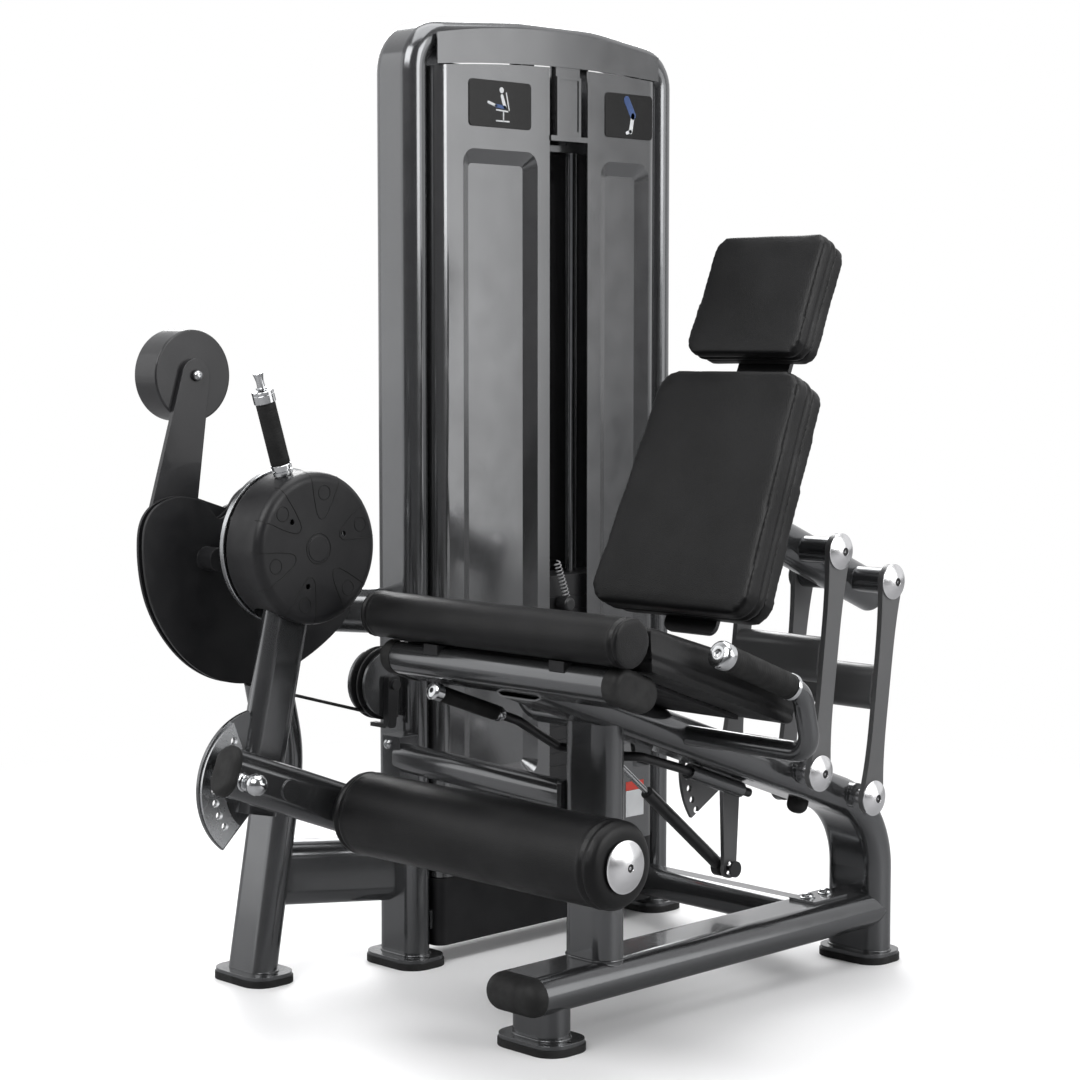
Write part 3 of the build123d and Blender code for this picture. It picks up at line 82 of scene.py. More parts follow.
# ---------------------------------------------------------------- camera, light, floor
def make_camera():
    """The photograph's camera, as solved from the frame's straight tubes."""
    data = bpy.data.cameras.new("camera")
    data.lens, data.sensor_width = 81.4, 36.0
    cam = bpy.data.objects.new("camera", data)
    cam.location = at(2601.9, -2578.0, 1075.0)
    cam.rotation_euler = (math.radians(85.35), 0.0, math.radians(45.3))
    bpy.context.collection.objects.link(cam)
    bpy.context.scene.camera = cam


def area_light(name, place, target, size, power):
    data = bpy.data.lights.new(name, "AREA")
    data.shape, data.size, data.size_y = "RECTANGLE", size[0], size[1]
    data.energy = power
    lamp = bpy.data.objects.new(name, data)
    lamp.location = place
    lamp.rotation_euler = (Vector(target) - Vector(place)).to_track_quat("-Z", "Y").to_euler()
    bpy.context.collection.objects.link(lamp)


def make_world():
    """White background; reflections see a dark camera side and bright sides."""
    world = bpy.data.worlds.new("studio")
    bpy.context.scene.world = world
    world.use_nodes = True
    nodes, links = world.node_tree.nodes, world.node_tree.links
    shade = nodes["Background"]
    coords = nodes.new("ShaderNodeTexCoord")
    toward = nodes.new("ShaderNodeVectorMath")
    toward.operation = "DOT_PRODUCT"
    toward.inputs[1].default_value = (0.70, -0.70, 0.12)
    links.new(coords.outputs["Generated"], toward.inputs[0])
    span = nodes.new("ShaderNodeMapRange")
    span.inputs["From Min"].default_value, span.inputs["From Max"].default_value = -1.0, 1.0
    links.new(toward.outputs["Value"], span.inputs["Value"])
    ramp = nodes.new("ShaderNodeValToRGB")
    first, last = ramp.color_ramp.elements
    first.position, first.color = 0.0, (0.75, 0.75, 0.76, 1)
    last.position, last.color = 1.0, (0.10, 0.10, 0.105, 1)
    levels = ((0.30, 0.95), (0.42, 0.75), (0.50, 0.42), (0.60, 0.36), (0.74, 0.26), (0.86, 0.12))
    for place, level in levels:
        stop = ramp.color_ramp.elements.new(place)
        stop.color = (level, level, level * 1.01, 1)
    links.new(span.outputs["Result"], ramp.inputs["Fac"])
    path = nodes.new("ShaderNodeLightPath")
    pick = nodes.new("ShaderNodeMix")
    pick.data_type = "RGBA"
    pick.inputs[MIX_SECOND].default_value = (1.0, 1.0, 1.0, 1)
    links.new(path.outputs["Is Camera Ray"], pick.inputs[MIX_FACTOR])
    links.new(ramp.outputs["Color"], pick.inputs[MIX_FIRST])
    links.new(pick.outputs[MIX_RESULT], shade.inputs["Color"])
    shade.inputs["Strength"].default_value = 1.0


def make_floor():
    """Pale floor that fades into the white background; reflections see it darker."""
    bpy.ops.mesh.primitive_plane_add(size=60, location=(0, 0, 0))
    floor = bpy.context.object
    floor.name = "floor"
    mat = bpy.data.materials.new("floor")
    mat.use_nodes = True
    nodes, links = mat.node_tree.nodes, mat.node_tree.links
    shader = nodes["Principled BSDF"]
    shader.inputs["Roughness"].default_value = 0.5
    white = nodes.new("ShaderNodeEmission")
    coords = nodes.new("ShaderNodeTexCoord")
    far = nodes.new("ShaderNodeVectorMath")
    far.operation = "LENGTH"
    links.new(coords.outputs["Object"], far.inputs[0])
    fade = nodes.new("ShaderNodeMapRange")
    fade.interpolation_type = "SMOOTHSTEP"
    fade.inputs["From Min"].default_value, fade.inputs["From Max"].default_value = 0.9, 2.6
    links.new(far.outputs["Value"], fade.inputs["Value"])
    path = nodes.new("ShaderNodeLightPath")
    tone = nodes.new("ShaderNodeMix")
    tone.data_type = "RGBA"
    tone.inputs[MIX_FIRST].default_value = (0.88, 0.88, 0.885, 1)
    tone.inputs[MIX_SECOND].default_value = (0.26, 0.26, 0.265, 1)
    links.new(path.outputs["Is Glossy Ray"], tone.inputs[MIX_FACTOR])
    links.new(tone.outputs[MIX_RESULT], shader.inputs["Base Color"])
    seen = nodes.new("ShaderNodeMath")
    seen.operation = "MULTIPLY"
    links.new(fade.outputs["Result"], seen.inputs[0])
    links.new(path.outputs["Is Camera Ray"], seen.inputs[1])
    blend = nodes.new("ShaderNodeMixShader")
    links.new(seen.outputs["Value"], blend.inputs[0])
    links.new(shader.outputs["BSDF"], blend.inputs[1])
    links.new(white.outputs["Emission"], blend.inputs[2])
    links.new(blend.outputs["Shader"], nodes["Material Output"].inputs["Surface"])
    floor.data.materials.append(mat)


def make_studio():
    make_world()
    area_light("key", (0.6, -4.4, 4.4), (0, 0, 0.8), (4.0, 3.0), 230)
    area_light("side", (4.8, 1.0, 2.8), (0, 0, 0.8), (2.2, 3.0), 110)
    area_light("glow", (4.02, 2.83, 1.95), (-0.29, 0.1, 1.3), (2.5, 3.6), 44)
    area_light("flank", (-3.4, -3.4, 2.0), (-0.3, 0, 0.9), (3.0, 4.0), 33)
    area_light("back", (-3.4, 2.8, 3.4), (0, 0, 0.9), (2.4, 3.0), 130)
    area_light("top", (0.2, 0.2, 4.6), (0, 0, 0), (3.4, 3.4), 110)
    make_floor()
    bpy.context.scene.view_settings.view_transform = "Standard"


# ---------------------------------------------------------------- materials
class Shade:
    """Small builder for one node material."""

    def __init__(self, name, roughness, metallic=0.0, **sockets):
        self.mat = bpy.data.materials.new(name)
        self.mat.use_nodes = True
        self.nodes, self.links = self.mat.node_tree.nodes, self.mat.node_tree.links
        self.shader = self.nodes["Principled BSDF"]
        self.shader.inputs["Roughness"].default_value = roughness
        self.shader.inputs["Metallic"].default_value = metallic
        for key, value in sockets.items():
            self.shader.inputs[key.replace("_", " ")].default_value = value
        self.coords = self.nodes.new("ShaderNodeTexCoord").outputs["Object"]

    def noise(self, scale, detail, roughness=0.5, stretch=None):
        node = self.nodes.new("ShaderNodeTexNoise")
        node.inputs["Scale"].default_value = scale
        node.inputs["Detail"].default_value = detail
        node.inputs["Roughness"].default_value = roughness
        self.links.new(self.mapped(stretch), node.inputs["Vector"])
        return node.outputs["Fac"]

    def cells(self, scale):
        node = self.nodes.new("ShaderNodeTexVoronoi")
        node.inputs["Scale"].default_value = scale
        self.links.new(self.coords, node.inputs["Vector"])
        return node.outputs["Distance"]

    def mapped(self, stretch):
        if stretch is None:
            return self.coords
        node = self.nodes.new("ShaderNodeMapping")
        node.inputs["Scale"].default_value = stretch
        self.links.new(self.coords, node.inputs["Vector"])
        return node.outputs["Vector"]

    def ramp(self, value, low, high, start=0.35, stop=0.65):
        """Colour between low and high as value goes from start to stop."""
        node = self.nodes.new("ShaderNodeValToRGB")
        first, last = node.color_ramp.elements
        first.position, last.position = start, stop
        first.color, last.color = (*low, 1), (*high, 1)
        self.links.new(value, node.inputs["Fac"])
        return node.outputs["Color"]

    def spread(self, value, low, high):
        """Value mapped from 0.3..0.7 to low..high."""
        node = self.nodes.new("ShaderNodeMapRange")
        node.inputs["From Min"].default_value, node.inputs["From Max"].default_value = 0.3, 0.7
        node.inputs["To Min"].default_value, node.inputs["To Max"].default_value = low, high
        self.links.new(value, node.inputs["Value"])
        return node.outputs["Result"]

    def mix(self, factor, first, second, blend="MIX"):
        node = self.nodes.new("ShaderNodeMix")
        node.data_type, node.blend_type = "RGBA", blend
        for socket, value in ((MIX_FACTOR, factor), (MIX_FIRST, first), (MIX_SECOND, second)):
            if isinstance(value, (int, float, tuple)):
                node.inputs[socket].default_value = value
            else:
                self.links.new(value, node.inputs[socket])
        return node.outputs[MIX_RESULT]

    def bevel(self, radius):
        node = self.nodes.new("ShaderNodeBevel")
        node.samples = 4
        node.inputs["Radius"].default_value = radius
        return node.outputs["Normal"]

    def edge(self, bevelled):
        """1 on outer edges, 0 on faces: the mask where a painted highlight lightens the colour."""
        geometry = self.nodes.new("ShaderNodeNewGeometry").outputs["Normal"]
        dot = self.nodes.new("ShaderNodeVectorMath")
        dot.operation = "DOT_PRODUCT"
        self.links.new(bevelled, dot.inputs[0])
        self.links.new(geometry, dot.inputs[1])
        node = self.nodes.new("ShaderNodeMapRange")
        node.inputs["From Min"].default_value, node.inputs["From Max"].default_value = 0.80, 0.97
        node.inputs["To Min"].default_value, node.inputs["To Max"].default_value = 1.0, 0.0
        self.links.new(dot.outputs["Value"], node.inputs["Value"])
        return node.outputs["Result"]

    def bump(self, height, strength, distance, normal=None):
        node = self.nodes.new("ShaderNodeBump")
        node.inputs["Strength"].default_value = strength
        node.inputs["Distance"].default_value = distance
        self.links.new(height, node.inputs["Height"])
        if normal is not None:
            self.links.new(normal, node.inputs["Normal"])
        return node.outputs["Normal"]

    def plug(self, socket, value):
        self.links.new(value, self.shader.inputs[socket])


def metallic_paint(name, dark, light, rough=(0.15, 0.23), metal=0.85, coat=0.4, edges=True):
    """Glossy metallic powder coat: fine flake, faint orange peel, and where asked for, outer edges
    lightened as a painted highlight.
    """
    s = Shade(name, 0.2, metal, Coat_Weight=coat, Coat_Roughness=0.06)
    round_edge = s.bevel(0.0015) if edges else None
    flake = s.ramp(s.noise(1000, 2), dark, light, 0.15, 0.85)
    cloudy = s.ramp(s.noise(4, 3), (0.92, 0.92, 0.92), (1, 1, 1))
    body = s.mix(1.0, flake, cloudy, "MULTIPLY")
    if edges:
        # painted highlight: the outer edges get a lighter colour, as if they caught the light
        body = s.mix(s.edge(round_edge), body, (*(min(1.0, v * 1.35 + 0.01) for v in light), 1))
    s.plug("Base Color", body)
    s.plug("Roughness", s.spread(s.noise(22, 4), *rough))
    s.plug("Normal", s.bump(s.noise(150, 2), 0.02, 0.0002, round_edge))
    return s.mat


def vinyl(name):
    """Black upholstery vinyl: pebbled grain, soft creases, dulled contact areas."""
    s = Shade(name, 0.45, 0.0, Specular_IOR_Level=0.25)
    body = s.ramp(s.noise(9, 4), (0.0040, 0.0040, 0.0043), (0.0082, 0.0082, 0.0087))
    speck = s.ramp(s.cells(620), (1.25, 1.25, 1.25), (0.8, 0.8, 0.8), 0.05, 0.6)
    s.plug("Base Color", s.mix(1.0, body, speck, "MULTIPLY"))
    s.plug("Roughness", s.spread(s.noise(14, 5), 0.33, 0.46))
    creases = s.bump(s.noise(46, 5, 0.6), 0.22, 0.0016)
    s.plug("Normal", s.bump(s.cells(620), 0.34, 0.0007, creases))
    return s.mat


def rubber(name, light, grain=900):
    """Matt black rubber with a fine grain and blotchy dullness."""
    s = Shade(name, 0.62, 0.0, Specular_IOR_Level=0.28)
    s.plug("Base Color", s.ramp(s.noise(24, 5), (light * 0.6,) * 3, (light * 1.3,) * 3))
    s.plug("Roughness", s.spread(s.noise(60, 4), 0.5, 0.74))
    s.plug("Normal", s.bump(s.noise(grain, 3), 0.25, 0.0006, s.bevel(0.002)))
    return s.mat


def moulded(name, dark, light, grain=1100, rough=(0.34, 0.48)):
    """Moulded plastic with a fine spark-eroded texture, and a painted highlight that lightens its outer
    edges.
    """
    s = Shade(name, 0.4, 0.0, Specular_IOR_Level=0.32)
    round_edge = s.bevel(0.002)
    body = s.ramp(s.noise(12, 4), dark, light)
    # painted highlight: the outer edges get a lighter colour, as if they caught the light
    body_with_painted_highlight = s.mix(s.edge(round_edge), body, (*(min(1.0, v * 1.5 + 0.006) for v in light), 1))
    s.plug("Base Color", body_with_painted_highlight)
    s.plug("Roughness", s.spread(s.noise(40, 4), *rough))
    s.plug("Normal", s.bump(s.noise(grain, 2), 0.2, 0.0005, round_edge))
    return s.mat


def bright_metal(name, colour, rough, stretch=None):
    """Chrome, aluminium or steel with faint smears, and brushed lines where stretch is given."""
    s = Shade(name, rough, 1.0)
    tint = tuple(0.92 * v for v in colour)
    s.plug("Base Color", s.ramp(s.noise(26, 5), tint, colour))
    s.plug("Roughness", s.spread(s.noise(40, 3), rough * 0.95, rough * 1.12))
    if stretch:
        s.plug("Normal", s.bump(s.noise(300, 3, 0.5, stretch), 0.02, 0.0001))
    return s.mat


def make_materials():
    """One material for each look, keyed by its name."""
    grey = metallic_paint
    return {
        "gunmetal": grey("gunmetal", (0.127, 0.129, 0.133), (0.136, 0.139, 0.143)),
        "link_grey": grey("link_grey", (0.110, 0.111, 0.113), (0.135, 0.136, 0.138),
                          (0.34, 0.46), 0.5, 0.15),
        "panel": grey("panel", (0.165, 0.167, 0.170), (0.173, 0.175, 0.179), (0.14, 0.2), edges=False),
        "black_steel": grey("black_steel", (0.014, 0.014, 0.015), (0.026, 0.026, 0.028),
                            (0.3, 0.42), 0.3, 0.2),
        "stack": grey("stack", (0.012, 0.012, 0.013), (0.026, 0.026, 0.028), (0.4, 0.55), 0.2, 0.0),
        "vinyl": vinyl("vinyl"),
        "board": moulded("board", (0.008, 0.008, 0.009), (0.016, 0.016, 0.017), 500, (0.55, 0.7)),
        "rubber": rubber("rubber", 0.014),
        "grip": rubber("grip", 0.009, 1400),
        "skirt": moulded("skirt", (0.006, 0.006, 0.007), (0.012, 0.012, 0.013)),
        "cam_black": moulded("cam_black", (0.007, 0.007, 0.008), (0.013, 0.013, 0.014), 700),
        # near black: painted shade of the grooves on the pivot cover
        "line": moulded("line", (0.002, 0.002, 0.002), (0.004, 0.004, 0.004), 900, (0.5, 0.6)),
        "pulley": moulded("pulley", (0.008, 0.008, 0.009), (0.016, 0.016, 0.017), 900, (0.25, 0.36)),
        "label": moulded("label", (0.002, 0.002, 0.002), (0.004, 0.004, 0.004), 1500, (0.10, 0.16)),
        "cable": moulded("cable", (0.008, 0.008, 0.008), (0.016, 0.016, 0.016), 1800, (0.25, 0.36)),
        "chrome": bright_metal("chrome", (0.66, 0.67, 0.68), 0.16),
        "silver": bright_metal("silver", (0.56, 0.57, 0.58), 0.26, (1, 0.06, 1)),
        "aluminium": bright_metal("aluminium", (0.78, 0.78, 0.79), 0.24),
        "coil": moulded("coil", (0.22, 0.22, 0.225), (0.30, 0.30, 0.305), 1500, (0.3, 0.4)),
        "ink_light": moulded("ink_light", (0.45, 0.46, 0.47), (0.56, 0.57, 0.58), 1500),
        "ink_blue": moulded("ink_blue", (0.03, 0.06, 0.16), (0.05, 0.09, 0.22), 1500),
        "ink_red": moulded("ink_red", (0.42, 0.03, 0.02), (0.52, 0.05, 0.03), 1500),
    }


# ---------------------------------------------------------------- helpers
def finish_piece(obj, body, slot, *nodes, smooth=True):
    """Give a new piece the material of its slot and its body, and hide the CAD nodes it stands for."""
    obj.data.materials.clear()
    obj.data.materials.append(MATERIALS[slot])
    if smooth:
        for polygon in obj.data.polygons:
            polygon.use_smooth = True
    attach(obj, body)
    if nodes:
        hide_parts(*nodes)


def new_object(name, data):
    """Object with the given data, linked into the scene."""
    obj = bpy.data.objects.new(name, data)
    bpy.context.collection.objects.link(obj)
    return obj


def apply_modifiers(obj):
    """Replace the mesh by what its modifiers make of it."""
    graph = bpy.context.evaluated_depsgraph_get()
    mesh = bpy.data.meshes.new_from_object(obj.evaluated_get(graph))
    obj.modifiers.clear()
    old = obj.data
    obj.data = mesh
    bpy.data.meshes.remove(old)


SHARP_TURN = math.radians(38)               # turned faces that meet at more than this keep a sharp edge


def lathe(name, start, stop, profile, segments, ring=False):
    """Turned mesh: profile is (distance from start towards stop, radius) in millimetres.

    A ring's profile closes on itself and leaves the middle open; else both ends are closed with discs.
    """
    a, b = Vector(start), Vector(stop)
    axis = (b - a).normalized()
    side = axis.orthogonal().normalized()
    other = axis.cross(side)
    build = bmesh.new()
    rings = []
    for distance, radius in profile:
        centre = a + axis * distance * MM
        rings.append([build.verts.new(centre + (side * math.cos(t) + other * math.sin(t)) * radius * MM)
                      for t in (2 * math.pi * k / segments for k in range(segments))])
    for low, high in zip(rings, rings[1:] + rings[:1] if ring else rings[1:]):
        for k in range(segments):
            n = (k + 1) % segments
            build.faces.new((low[k], low[n], high[n], high[k]))
    if not ring:
        build.faces.new(list(reversed(rings[0])))
        build.faces.new(rings[-1])
    bmesh.ops.recalc_face_normals(build, faces=build.faces)
    mesh = bpy.data.meshes.new(name)
    build.to_mesh(mesh)
    build.free()
    for polygon in mesh.polygons:
        polygon.use_smooth = True
    mesh.set_sharp_from_angle(angle=SHARP_TURN)
    return new_object(name, mesh)


def tube_along(name, points, radius, closed, resolution):
    """Round bead along points in metres, as a mesh; the radius is in millimetres."""
    curve = bpy.data.curves.new(name, "CURVE")
    curve.dimensions, curve.bevel_depth, curve.bevel_resolution = "3D", radius * MM, resolution
    spline = curve.splines.new("POLY")
    spline.points.add(len(points) - 1)
    for point, place in zip(spline.points, points):
        point.co = (*place, 1)
    spline.use_cyclic_u = closed
    curve.use_fill_caps = True
    holder = new_object(name + "_line", curve)
    graph = bpy.context.evaluated_depsgraph_get()
    mesh = bpy.data.meshes.new_from_object(holder.evaluated_get(graph))
    bpy.data.objects.remove(holder)
    bpy.data.curves.remove(curve)
    return new_object(name, mesh)


# ---------------------------------------------------------------- cords
def make_lanyard():
    """Curly cord from the selector pin's knob up to the head plate."""
    x = -473.0
    low, high = at(x, 532, 618), at(x, 508, 680)
    turns, radius, per_turn = 10, 0.0057, 12
    wire, tail = 0.0024, 0.004
    axis = (high - low).normalized()
    side = axis.orthogonal().normalized()
    other = axis.cross(side)
    count = turns * per_turn
    points = [low - axis * tail]
    for k in range(count + 1):
        t = 2 * math.pi * k / per_turn
        spoke = side * math.cos(t) + other * math.sin(t)
        points.append(low + (high - low) * (k / count) + spoke * radius)
    points.append(high + axis * tail)
    curve = bpy.data.curves.new("lanyard", "CURVE")
    curve.dimensions, curve.bevel_depth, curve.bevel_resolution = "3D", wire / 2, 3
    curve.resolution_u = 3
    spline = curve.splines.new("NURBS")
    spline.points.add(len(points) - 1)
    for point, place in zip(spline.points, points):
        point.co = (*place, 1)
    spline.order_u = 3
    spline.use_endpoint_u = True
    curve.use_fill_caps = True
    cord = new_object("lanyard", curve)
    # the curve cuts the corners of its control points, so it is a little shorter than they are
    cord.data.materials.append(MATERIALS["coil"])
    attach(cord, "lifted_stack")
    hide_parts("pin_lanyard")


def make_stack_cable():
    """Run of cable from the head plate's stem up to the pulley."""
    low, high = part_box("stack_cable")
    centre = (Vector(low) + Vector(high)) / 2
    start, stop = Vector((centre.x, centre.y, low[2])), Vector((centre.x, centre.y, high[2]))
    length = (stop - start).length / MM
    steps, radius = 40, 2.8
    cable = lathe("stack_cable_run", start, stop,
                  [(length * k / steps, radius) for k in range(steps + 1)], 20)
    finish_piece(cable, "frame", "cable", "stack_cable")
    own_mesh(cable)


# ---------------------------------------------------------------- soft goods
def copy_node(node, name):
    """New object with a copy of a CAD node's mesh, its faces welded together."""
    mesh = frame["nodes"][node].data.copy()
    mesh.materials.clear()
    weld = bmesh.new()
    weld.from_mesh(mesh)
    bmesh.ops.remove_doubles(weld, verts=weld.verts, dist=0.1 * MM)
    weld.to_mesh(mesh)
    weld.free()
    return new_object(name, mesh)


def split_loose(obj, names):
    """Split a mesh into its loose parts, ordered by height."""
    bpy.ops.object.select_all(action="DESELECT")
    obj.select_set(True)
    bpy.context.view_layer.objects.active = obj
    bpy.ops.mesh.separate(type="LOOSE")
    parts = sorted(bpy.context.selected_objects, key=lambda o: max(v.co.z for v in o.data.vertices))
    for part, name in zip(parts, names):
        part.name = name
    return parts


def place_points(obj, places):
    for vertex, place in zip(obj.data.vertices, places):
        vertex.co = place


def settle(obj):
    """Apply the modifiers and smooth away steps and small nicks."""
    smooth = obj.modifiers.new("settle", "SMOOTH")
    smooth.factor, smooth.iterations = 0.5, 4
    apply_modifiers(obj)


def evened(mesh, moves, rounds):
    """The moves of a mesh's points, averaged with their neighbours' so that creases even out."""
    near = [[] for _ in moves]
    for edge in mesh.edges:
        a, b = edge.vertices
        near[a].append(b)
        near[b].append(a)
    for _ in range(rounds):
        moves = [(move + sum((moves[k] for k in around), Vector())) / (len(around) + 1)
                 for move, around in zip(moves, near)]
    return moves


CLOTH_FRAMES = 20
HELD_ABOVE_PLANE = 0.012                    # cushion this near its board isn't pushed off it, metres


def puff(obj, voxel, shrink, cap, rest_plane=None, even=14):
    """Upholstery: remesh, shrink, blow up as cloth, even the moves out, cap them, and subdivide once.

    rest_plane is a (point, normal) that the underside stays on.
    """
    remesh = obj.modifiers.new("remesh", "REMESH")
    remesh.mode, remesh.voxel_size = "VOXEL", voxel
    settle(obj)
    start = [v.co - v.normal * shrink for v in obj.data.vertices]
    place_points(obj, start)
    cloth = obj.modifiers.new("cloth", "CLOTH")
    cloth.settings.quality = 4
    cloth.settings.use_pressure = True
    cloth.settings.uniform_pressure_force = 4.0
    cloth.settings.effector_weights.gravity = 0.0
    cloth.settings.tension_stiffness = 12
    cloth.settings.compression_stiffness = 12
    cloth.settings.bending_stiffness = 0.6
    cloth.point_cache.frame_start, cloth.point_cache.frame_end = 1, CLOTH_FRAMES
    scene = bpy.context.scene
    for step in range(1, CLOTH_FRAMES + 1):
        scene.frame_set(step)
    apply_modifiers(obj)
    scene.frame_set(1)
    moves = evened(obj.data, [v.co - origin for v, origin in zip(obj.data.vertices, start)], even)
    for vertex, origin, move in zip(obj.data.vertices, start, moves):
        if rest_plane is not None:
            point, normal = rest_plane
            if (origin - point).dot(normal) < HELD_ABOVE_PLANE:
                move -= normal * move.dot(normal)
        if move.length > cap:
            move = move * (cap / move.length)
        vertex.co = origin + move
    detail = obj.modifiers.new("detail", "SUBSURF")
    detail.levels = detail.render_levels = 1
    apply_modifiers(obj)


def seam(obj, distance, width, depth):
    """Sewn groove where distance(point) is near zero, with a slight swell beside it."""
    moved = []
    for vertex in obj.data.vertices:
        d = distance(vertex.co)
        groove = depth * math.exp(-(d / width) ** 2)
        swell = 0.35 * depth * math.exp(-((abs(d) - 2.4 * width) / width) ** 2)
        moved.append(vertex.co - vertex.normal * (groove - swell))
    place_points(obj, moved)


def wrinkle(obj, size, depth, stretch=(1, 1, 1)):
    """Soft unevenness of stuffed fabric."""
    moved = []
    for vertex in obj.data.vertices:
        p = Vector([a * b for a, b in zip(vertex.co, stretch)]) / size
        moved.append(vertex.co + vertex.normal * noise.fractal(p, 0.8, 2.0, 3) * depth)
    place_points(obj, moved)


def plane_distance(point, normal):
    """Function that gives a point's signed distance from a plane."""
    n = Vector(normal).normalized()
    return lambda p: (p - point).dot(n)


BACK_LEAN = math.radians(23.5)
BACK_UP = Vector((0, math.sin(BACK_LEAN), math.cos(BACK_LEAN)))
BACK_FACING = Vector((0, -math.cos(BACK_LEAN), math.sin(BACK_LEAN)))
BACK_ORIGIN = at(0, 268, 651.5)


FULLNESS = 0.06                             # widening of the back pads


def fill_out(obj, headrest):
    """Widen a back pad: all round on the headrest, more and more towards the top on the backrest."""
    spots = [v.co for v in obj.data.vertices]
    heights = [(p - BACK_ORIGIN).dot(BACK_UP) for p in spots]
    low, high = min(heights), max(heights)
    left, right = min(p.x for p in spots), max(p.x for p in spots)
    for vertex, height in zip(obj.data.vertices, heights):
        share = 1.0 if headrest else (height - low) / (high - low)
        vertex.co.x += (vertex.co.x - (left + right) / 2) * share * FULLNESS
        if headrest:
            vertex.co += BACK_UP * (height - (low + high) / 2) * FULLNESS


def make_pads():
    """Seat, front roll, backrest, headrest with their back halves, and the shin roller."""
    under_normal = Vector((0, -RAIL_SLOPE, 1)).normalized()
    under_point = at(0, 0, 586.4)

    seat = copy_node("seat_cushion", "seat_pad")
    puff(seat, 0.006, 0.003, 0.010, (under_point, under_normal))
    seam(seat, plane_distance(under_point + under_normal * 0.022, under_normal), 0.0032, 0.0024)
    wrinkle(seat, 0.16, 0.0012)
    finish_piece(seat, "frame", "vinyl", "seat_cushion")

    roll = copy_node("seat_front_roll", "front_roll_pad")
    puff(roll, 0.005, 0.002, 0.004)
    for hand in (-1, 1):
        seam(roll, plane_distance(at(hand * 264.0, 0, 0), (1, 0, 0)), 0.0026, 0.0022)
    wrinkle(roll, 0.09, 0.0009, (0.5, 1, 1))
    finish_piece(roll, "frame", "vinyl", "seat_front_roll")

    for node, name in (("backrest_pad", "backrest_pad_front"), ("headrest_pad", "headrest_pad_front")):
        pad = copy_node(node, name)
        fill_out(pad, node == "headrest_pad")
        puff(pad, 0.005, 0.0, 0.004, even=40)
        rim = BACK_ORIGIN - BACK_FACING * (0.030 if node == "backrest_pad" else 0.026)
        seam(pad, plane_distance(rim, BACK_FACING), 0.0028, 0.0022)
        wrinkle(pad, 0.14, 0.0006)
        settle(pad)
        finish_piece(pad, "backrest", "vinyl", node)

    names = ("backrest_back_half", "headrest_back_half")
    halves = split_loose(copy_node("back_shells", "back_half"), names)
    for half in halves:
        fill_out(half, half.name.startswith("headrest"))
        puff(half, 0.005, 0.0015, 0.004, even=40)
        wrinkle(half, 0.12, 0.0005)
        settle(half)
        finish_piece(half, "backrest", "vinyl")
    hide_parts("back_shells")

    roller = copy_node("shin_roller", "shin_roller_pad")
    puff(roller, 0.005, 0.003, 0.006)
    for hand in (-1, 1):
        seam(roller, plane_distance(at(hand * 262.0, 0, 0), (1, 0, 0)), 0.0030, 0.0024)
    wrinkle(roller, 0.11, 0.0012, (0.4, 1, 1))
    finish_piece(roller, "shin_roller", "vinyl", "shin_roller")


# ---------------------------------------------------------------- grips
def ribbed(length, radius, bore):
    """Profile of a ribbed sleeve with plain rounded ends."""
    profile = [(0, bore), (0, radius - 1.5), (0.6, radius - 0.4), (1.6, radius)]
    plain_end = 9.0
    count = int((length - 2 * plain_end) / RIB_PITCH)
    start = (length - count * RIB_PITCH) / 2
    for k in range(count):
        base = start + k * RIB_PITCH
        profile += [(base + RIB_PITCH * share, radius - RIB_DEPTH * cut)
                    for share, cut in ((0, 0), (0.30, 0.2), (0.45, 1), (0.62, 1), (0.78, 0.2))]
    profile += [(length - 1.6, radius), (length - 0.6, radius - 0.4), (length, radius - 1.5),
                (length, bore)]
    return profile


def on_handle(x, y):
    """Point on a side handle's axis."""
    return at(x, y, 620 + HANDLE_SLOPE * (y - 74))


def on_lever(y):
    """Point on the release lever's axis."""
    return at(-150, y, 494 + RAIL_SLOPE * (y - 46))


def start_handle_axis():
    """The start handle's pivot and the direction it points in."""
    return at(-378, *MAIN_PIVOT), Vector((0, -math.sin(ARM_LEAN), math.cos(ARM_LEAN)))


def make_grips():
    """Ribbed rubber sleeves on the side handles, the start handle and the release lever."""
    for hand, name in ((-1, "right"), (1, "left")):
        x = hand * HANDLE_X
        start, stop = on_handle(x, 74), on_handle(x, 214)
        length = (stop - start).length / MM
        grip = lathe(f"seat_grip_{name}", start, stop, ribbed(length, 19.5, 1.0), 72)
        finish_piece(grip, "frame", "grip", "handle_grips")

    pivot, along = start_handle_axis()
    start, stop = pivot + along * 0.138, pivot + along * 0.238
    grip = lathe("start_handle_grip", start, stop, ribbed(100, 15.5, 10.2), 64)
    finish_piece(grip, "movement_arm", "grip", "rom_grip")

    start, stop = on_lever(-72), on_lever(46)
    length = (stop - start).length / MM
    grip = lathe("lever_sleeve", start, stop, ribbed(length, 12.5, 7.6), 56)
    finish_piece(grip, "release_lever", "grip", "lever_grip")


